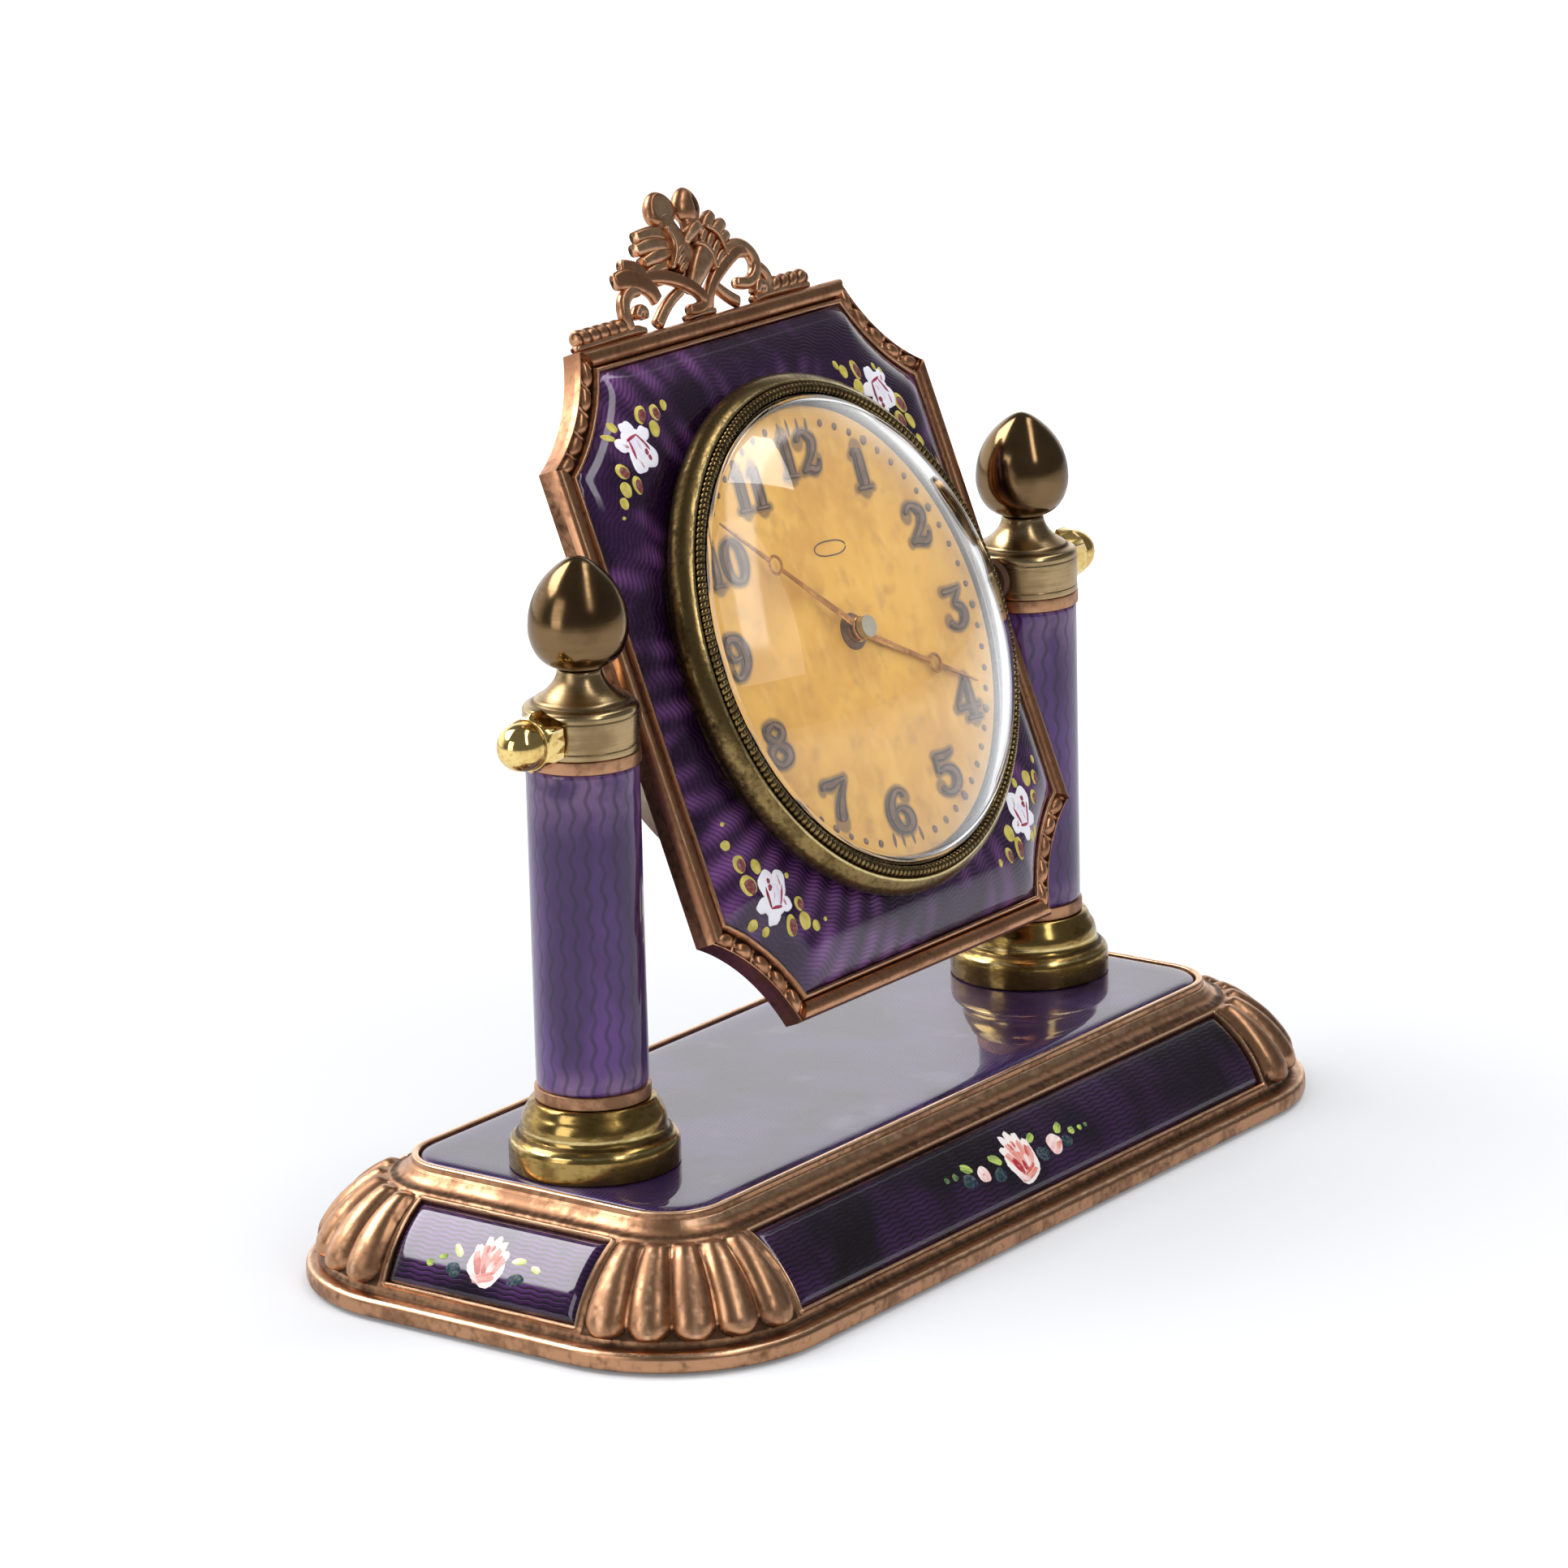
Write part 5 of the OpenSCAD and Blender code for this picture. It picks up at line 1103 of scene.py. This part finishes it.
def dial_plate():
    """A disc whose rings end in a turned edge. The mark for stain and painted shadow at a point is how near it lies to
    a
    figure: one on the figure, falling to nothing under a millimetre off."""
    steps, rings = 420, 130
    r = np.concatenate([np.linspace(0, dial_r, rings), [24.25, 24.35, 24.35, 24.2]])
    w = np.concatenate([np.full(rings, dial_w), [dial_w - 0.03, dial_w - 0.15, 3.8, 3.7]])
    u, v = r[:, None] * np.cos(circle(steps)), r[:, None] * np.sin(circle(steps))
    near = np.full(u.shape, 9.0)
    for line in strokes:
        box = (np.abs(u - line[:, 0].mean()) < 5) & (np.abs(v - line[:, 1].mean()) < 5)
        d = np.hypot(u[box][:, None] - line[:, 0], v[box][:, None] - line[:, 1]) - line[:, 2] / 2
        near[box] = np.minimum(near[box], d.min(1))
    u, v, near = (np.vstack([grid, grid[-1:]]) for grid in (u, v, near))
    points = on_dial(u, v, np.append(w, 3.7)[:, None])
    points[-1] = on_dial(0.0, 0.0, 3.7)
    return sheet(points, (False, True), stain=np.clip(1 - near / 0.8, 0, 1) ** 1.5, lay=np.dstack([u, v, 0 * u]))


def stained_ochre():
    """Ochre gilding: broad and streaky patches of three tones, and brown where the mesh is marked for stain and
    painted shadow round the figures.
    """
    m = Finish("ochre_dial", {"Metallic": 0.25, "Roughness": 0.5})
    patchy, streaky = m.noise(9.0, 5.0, rough=0.6), m.noise(1.6, 4.0, (1, 1, 3.2))
    face = m.blend(m.ease(patchy, 0.34, 0.66), tint(220, 170, 74), tint(200, 148, 60))
    face = m.blend(m.ease(streaky, 0.48, 0.72) * 0.3, face, tint(230, 188, 104))
    face = m.blend(m.ease(m.noise(2.6, 6.0), 0.52, 0.72) * 0.4, face, tint(158, 114, 58))
    # brown round the figures: tarnish, and painted soft shadow of the raised figures
    stained = (m.ease(m.mark("stain") + (streaky - 0.5) * 0.5, 0.12, 0.8) * 0.75).clip()
    m.give({"Base Color": m.blend(stained, face, tint(98, 74, 50)),
            "Normal": m.raise_by(m.noise(0.22, 3.0) + m.noise(3.0, 2.0) * 0.5, 0.012)})
    return m


piece("dial_face", [dial_plate()], stained_ochre(), "head", ["dial"], 40)

foot_w = dial_w - 0.02      # figures are sunk this little into the dial


def raised(line, high=0.26):
    """A domed stroke along a line: across it the height is a flattened half oval, and both ends are rounded off. It
    is marked where it falls to its outline."""
    p, width = line[:, :2], line[:, 2]
    run = np.concatenate([[0], np.cumsum(np.linalg.norm(np.diff(p, axis=0), axis=1))])
    left = np.minimum(run, run[-1] - run)
    end = np.sqrt(np.clip(1 - np.clip(1 - left / np.maximum(width / 2.5, 0.05), 0, 1) ** 2, 0, 1))
    a = np.linspace(0, math.pi, 10)
    u, v = beside(p, (width / 2 * np.clip(end, 0.03, 1))[:, None] * squared(np.cos(a), 0.7))
    edge = np.clip((np.abs(np.cos(a)) - 0.3) / 0.6, 0, 1) + np.zeros((len(p), 1))
    edge[[0, -1]] = 1
    return tube(on_dial(u, v, foot_w + high * end[:, None] * np.sin(a) ** 0.3), edge=edge)


def dot(angle, radius, size, long):
    """A minute dot, or where long is more than one a pointed bar, lying on its radius."""
    a, b = np.meshgrid(np.linspace(0, math.pi / 2, 6), circle(12), indexing="ij")
    x, y = size * np.sin(a) * np.cos(b), size * long * np.sin(a) * np.sin(b)
    c, s = cos_sin(angle)
    w = foot_w + size * 0.7 * np.cos(a) * (1 if long < 1.5 else 0.8)
    return sheet(on_dial(radius * s + x * c + y * s, radius * c - x * s + y * c, w), (False, True))


def label():
    """The oval label under the twelve: a thin raised line closed on itself."""
    a = np.linspace(0, 2 * math.pi, 41)
    return raised(np.column_stack([0.8 + 2.66 * squared(np.cos(a), 0.75), 9.1 + 0.78 * np.sin(a), np.full(41, 0.16)]),
                  0.08)


def washer():
    """The ring round the hands' pipe, true to the pipe and not to the dial."""
    a, r = circle(40), np.array([[1.3], [1.3], [1.95], [2.0], [2.0]])
    w = dial_w + np.array([[-0.1], [0.22], [0.22], [0.12], [-0.1]])
    return sheet(on_dial(r * np.cos(a) + slip_u, r * np.sin(a), w), (True, True))


minutes = []
for k in range(60):
    if k in (0, 30):        # two bars side by side
        minutes += [dot(6 * k + d, 22.2, 0.24, 4.2) for d in (-2.2, 2.2)]
    elif k in (59, 1, 29, 31):
        minutes.append(dot(6 * k, 22.3, 0.26, 3.2))
    else:
        minutes.append(dot(6 * k, 22.65, 0.38 if k % 5 else 0.5, 1.15))
dark_figures = Finish("dark_figures", {"Metallic": 0.4})
tone, edge = dark_figures.noise(1.4, 5.0), dark_figures.mark("edge")
figure_paint = dark_figures.blend(dark_figures.ease(tone, 0.35, 0.7), tint(96, 70, 52), tint(128, 102, 82))
figure_paint = dark_figures.blend(dark_figures.ease(edge, 0.05, 0.4), figure_paint, tint(38, 28, 24))
figure_paint = dark_figures.blend(dark_figures.ease(edge, 0.55, 0.95), figure_paint, tint(88, 80, 78))
dark_figures.give({"Base Color": figure_paint, "Roughness": 0.34 + tone * 0.25,
                   "Normal": dark_figures.raise_by(dark_figures.noise(0.4, 4.0), 0.03)})
piece("dial_figures", [raised(line) for line in strokes] + minutes + [label(), washer()], dark_figures, "head",
      [], 60)


# Hands. Two thin rose-gold hands, each pierced with a ring: the hour hand on the hour wheel's pipe, the minute hand
# on the cannon pinion above it, with the steel end of the arbor showing in its boss.
def hand(reach, ring_at, angle, low, high, boss, foot_half, ring_half):
    """A slim bar from the boss through a ring to its point. Its section is a flat strip with a low ridge."""
    ring_r, wire_r, point_half = 0.95, 0.17, 0.09
    c, s = cos_sin(angle)

    def place(x, y, w):
        return leaned(y * s + x * c, y * c - x * s, w)

    def bar(y0, y1, half0, half1):
        y = np.linspace(y0, y1, 12)[:, None]
        half = half0 + (half1 - half0) * (y - y0) / (y1 - y0)
        a = np.array([-1, -0.7, 0, 0.7, 1, 0.9, -0.9])
        h = np.array([0.5, 0.9, 1, 0.9, 0.5, 0, 0])
        return tube(place(half * a, y + 0 * a, low + (high - low) * h + 0 * y))
    a, b, t = circle(48)[:, None], circle(8)[None], circle(40)[None]
    r = ring_r + wire_r * np.cos(b)
    ring = place(r * np.sin(a), ring_at + r * np.cos(a), (low + high) / 2 + (high - low) / 2 * np.sin(b) + 0 * a)
    r = np.array([0.0, boss, boss + 0.06, boss + 0.06, boss, boss * 0.5, 0])[:, None]
    w = np.array([low, low, low + 0.05, high, high + 0.06, high + 0.08, high + 0.08])[:, None]
    disc = leaned(r * np.cos(t), r * np.sin(t), w)
    return [bar(0.3, ring_at - ring_r, foot_half, ring_half), sheet(ring, (True, True)),
            bar(ring_at + ring_r, reach, ring_half * 1.3, point_half), sheet(disc, (False, True))]


rose_gold = aged_metal("rose_gold", (190, 138, 80), (160, 108, 60), (84, 54, 30), (244, 208, 150),
                       rough=(0.22, 0.34), patch=3.0, pits=0.004)
piece("hour_hand_ringed", hand(20.1, 12.9, 118.3, 4.5, 4.78, 1.3, 0.46, 0.24), rose_gold, "hour_hands",
      ["hour_hand"], 40)
piece("minute_hand_ringed", hand(22.6, 13.8, 311.5, 5.25, 5.5, 1.25, 0.46, 0.22), rose_gold, "minute_hands",
      ["minute_hand"], 40)


# Case and back. A plain nickelled cup holds the movement; its snap-on back carries the winding key and the
# hand-setting knob. A copper plate and a slotted brass ring close the head behind.
nickel = aged_metal("nickelled_brass", (186, 180, 164), (164, 158, 144), (116, 108, 94), (222, 218, 206),
                    rough=(0.26, 0.36), patch=9.0, pits=0.005, grain=(3, 3, 0.6), fleck=0.12)
dress(nickel, "movement_case", "case_back", "hand_arbor")
dress(olive_brass, "retaining_ring", "setting_knob", "winding_key")
back_copper = aged_metal("back_copper", (178, 120, 86), (154, 102, 74), (84, 56, 40), (226, 176, 138),
                         rough=(0.30, 0.42), patch=14.0, pits=0.005, fleck=0.12)
dress(back_copper, "back_plate")


# Movement. Brass plates on four pillars carry brass wheels on steel arbors, a steel lever and a nickel balance.
# All are solids of the frame, inside the closed case, and take only their finish.
movement_brass = aged_metal("movement_brass", (214, 184, 116), (188, 156, 92), (110, 86, 48), (240, 220, 166),
                            rough=(0.26, 0.36), patch=5.0, pits=0.008)
dress(movement_brass, "front_plate", "rear_plate", "pillars", "barrel", "centre_wheel", "third_wheel",
      "fourth_wheel", "hour_wheel", "minute_wheel")
dress(plain_steel, "barrel_arbor", "escape_wheel", "pallet_lever", "cannon_pinion")
dress(nickel, "balance_wheel")


# ---------------------------------------------------------------------------------------------------------------
# Stage: a pale floor that glows into a white ground farther off, so that it has no far edge, a tall soft lamp before
# the clock, others above, behind and to the left, and the camera at the photograph's angle.
white = (1, 1, 1, 1)
floor_mesh = bpy.data.meshes.new("floor")
floor_mesh.from_pydata([(-3, -3, 0), (3, -3, 0), (3, 3, 0), (-3, 3, 0)], [], [(0, 1, 2, 3)])
floor = bpy.data.objects.new("floor", floor_mesh)
bpy.context.collection.objects.link(floor)
paper_material = bpy.data.materials.new("white_paper")
floor_mesh.materials.append(paper_material)
paper = Nodes(paper_material, "Material")
matte = paper.node("BsdfDiffuse", {}, {"Color": tint(222, 224, 228)})
far = paper.node("VectorMath", {"operation": "LENGTH"}, {0: paper.spot()}, output="Value")
glow = paper.node("Emission", {}, {"Color": white, "Strength": paper.ease(far, 0.07, 0.30, 0.13, 0.75)})
seen = paper.ray("Camera").sum("ADD", paper.ray("Camera"), paper.ray("Transmission"), clamp=True)
glowing = paper.node("AddShader", {}, {0: matte, 1: glow})
paper.feed(paper.end, 0, paper.node("MixShader", {}, {0: seen, 1: matte, 2: glowing}))

# The room, white to the eye and evenly soft as a light. What shines back from metal and glass is a white ground
# behind the clock, a bright strip that leans over its front, a bright window high behind it, and dimness elsewhere.
world = bpy.data.worlds.new("studio")
bpy.context.scene.world = world
room = Nodes(world, "World")
way = room.node("TexCoord", output="Generated")
x, y, z = room.axes(way)
lean = room.node("VectorMath", {"operation": "DOT_PRODUCT"}, {0: way, 1: (0.629, -0.749, 0.206)}, output="Value")
shine = 0.13
for strength, edges in (
        (1.20, ((x, -0.75, -0.2), (z, 0.62, 0.34), (y, -0.15, 0.35))),
        (4.2, ((lean, 0.500, 0.525), (lean, 0.645, 0.615), (y, 0.02, -0.12), (z, 0.36, 0.48))),
        (8.0, ((y, 0.47, 0.50), (x, -0.60, -0.57), (x, 0.16, 0.10), (z, 0.50, 0.54)))):
    inside = math.prod(room.ease(*edge) for edge in reversed(edges))
    shine = inside.sum("MULTIPLY_ADD", inside, strength, shine)
soft, bare, look = (room.node("Background", {}, {"Color": white, "Strength": strength})
                    for strength in (0.55, 1.0, shine))
for kind, sight in (("Glossy", look), ("Camera", bare), ("Transmission", bare)):
    soft = room.node("MixShader", {}, {0: room.ray(kind), 1: soft, 2: sight})
room.feed(room.end, 0, soft)

middle = np.array([-0.0085, 0.0, 0.0572])       # of the clock, in metres


def stand(name, data, way, far, roll=0.0):
    """A lamp or the camera, far from the middle of the clock along way, rolled, and looking back at it."""
    side = np.cross((0, 0, 1), way)
    side /= np.linalg.norm(side)
    up, c, s = np.cross(way, side), math.cos(roll), math.sin(roll)
    place = np.eye(4)
    place[:3] = np.stack([c * side + s * up, -s * side + c * up, way, middle + way * far], 1)
    thing = bpy.data.objects.new(name, data)
    bpy.context.collection.objects.link(thing)
    thing.matrix_world = Matrix(place.tolist())
    return thing


for name, way, far, wide, high, watts, shines in (
        ("front_softbox", (-0.20, -0.74, 0.64), 0.62, 0.30, 0.60, 1.0, False),
        ("ceiling_softbox", (-0.30, 0.56, 0.77), 0.80, 0.50, 0.50, 3.4, False),
        ("overhead_softbox", (0.39, -0.17, 0.90), 0.75, 0.25, 0.25, 1.4, False),
        ("left_softbox", (-0.95, 0.20, 0.30), 0.75, 0.30, 0.50, 1.2, True)):
    lamp = bpy.data.lights.new(name, "AREA")
    lamp.shape, lamp.size, lamp.size_y, lamp.energy = "RECTANGLE", wide, high, watts
    stand(name, lamp, np.array(way) / np.linalg.norm(way), far).visible_glossy = shines

azimuth, elevation, roll, far = math.radians(-53.32), math.radians(14.33), math.radians(-1.456), 0.686
back = np.array([math.sin(azimuth) * math.cos(elevation), -math.cos(azimuth) * math.cos(elevation),
                 math.sin(elevation)])
camera = bpy.data.cameras.new("camera")
camera.lens, camera.sensor_width, camera.sensor_fit = 149.4, 36.0, "HORIZONTAL"
camera.shift_x, camera.shift_y, camera.clip_start = 0.0118, -0.0634, 0.01
bpy.context.scene.camera = stand("camera", camera, back, far, roll)
bpy.context.scene.view_settings.view_transform = "Standard"
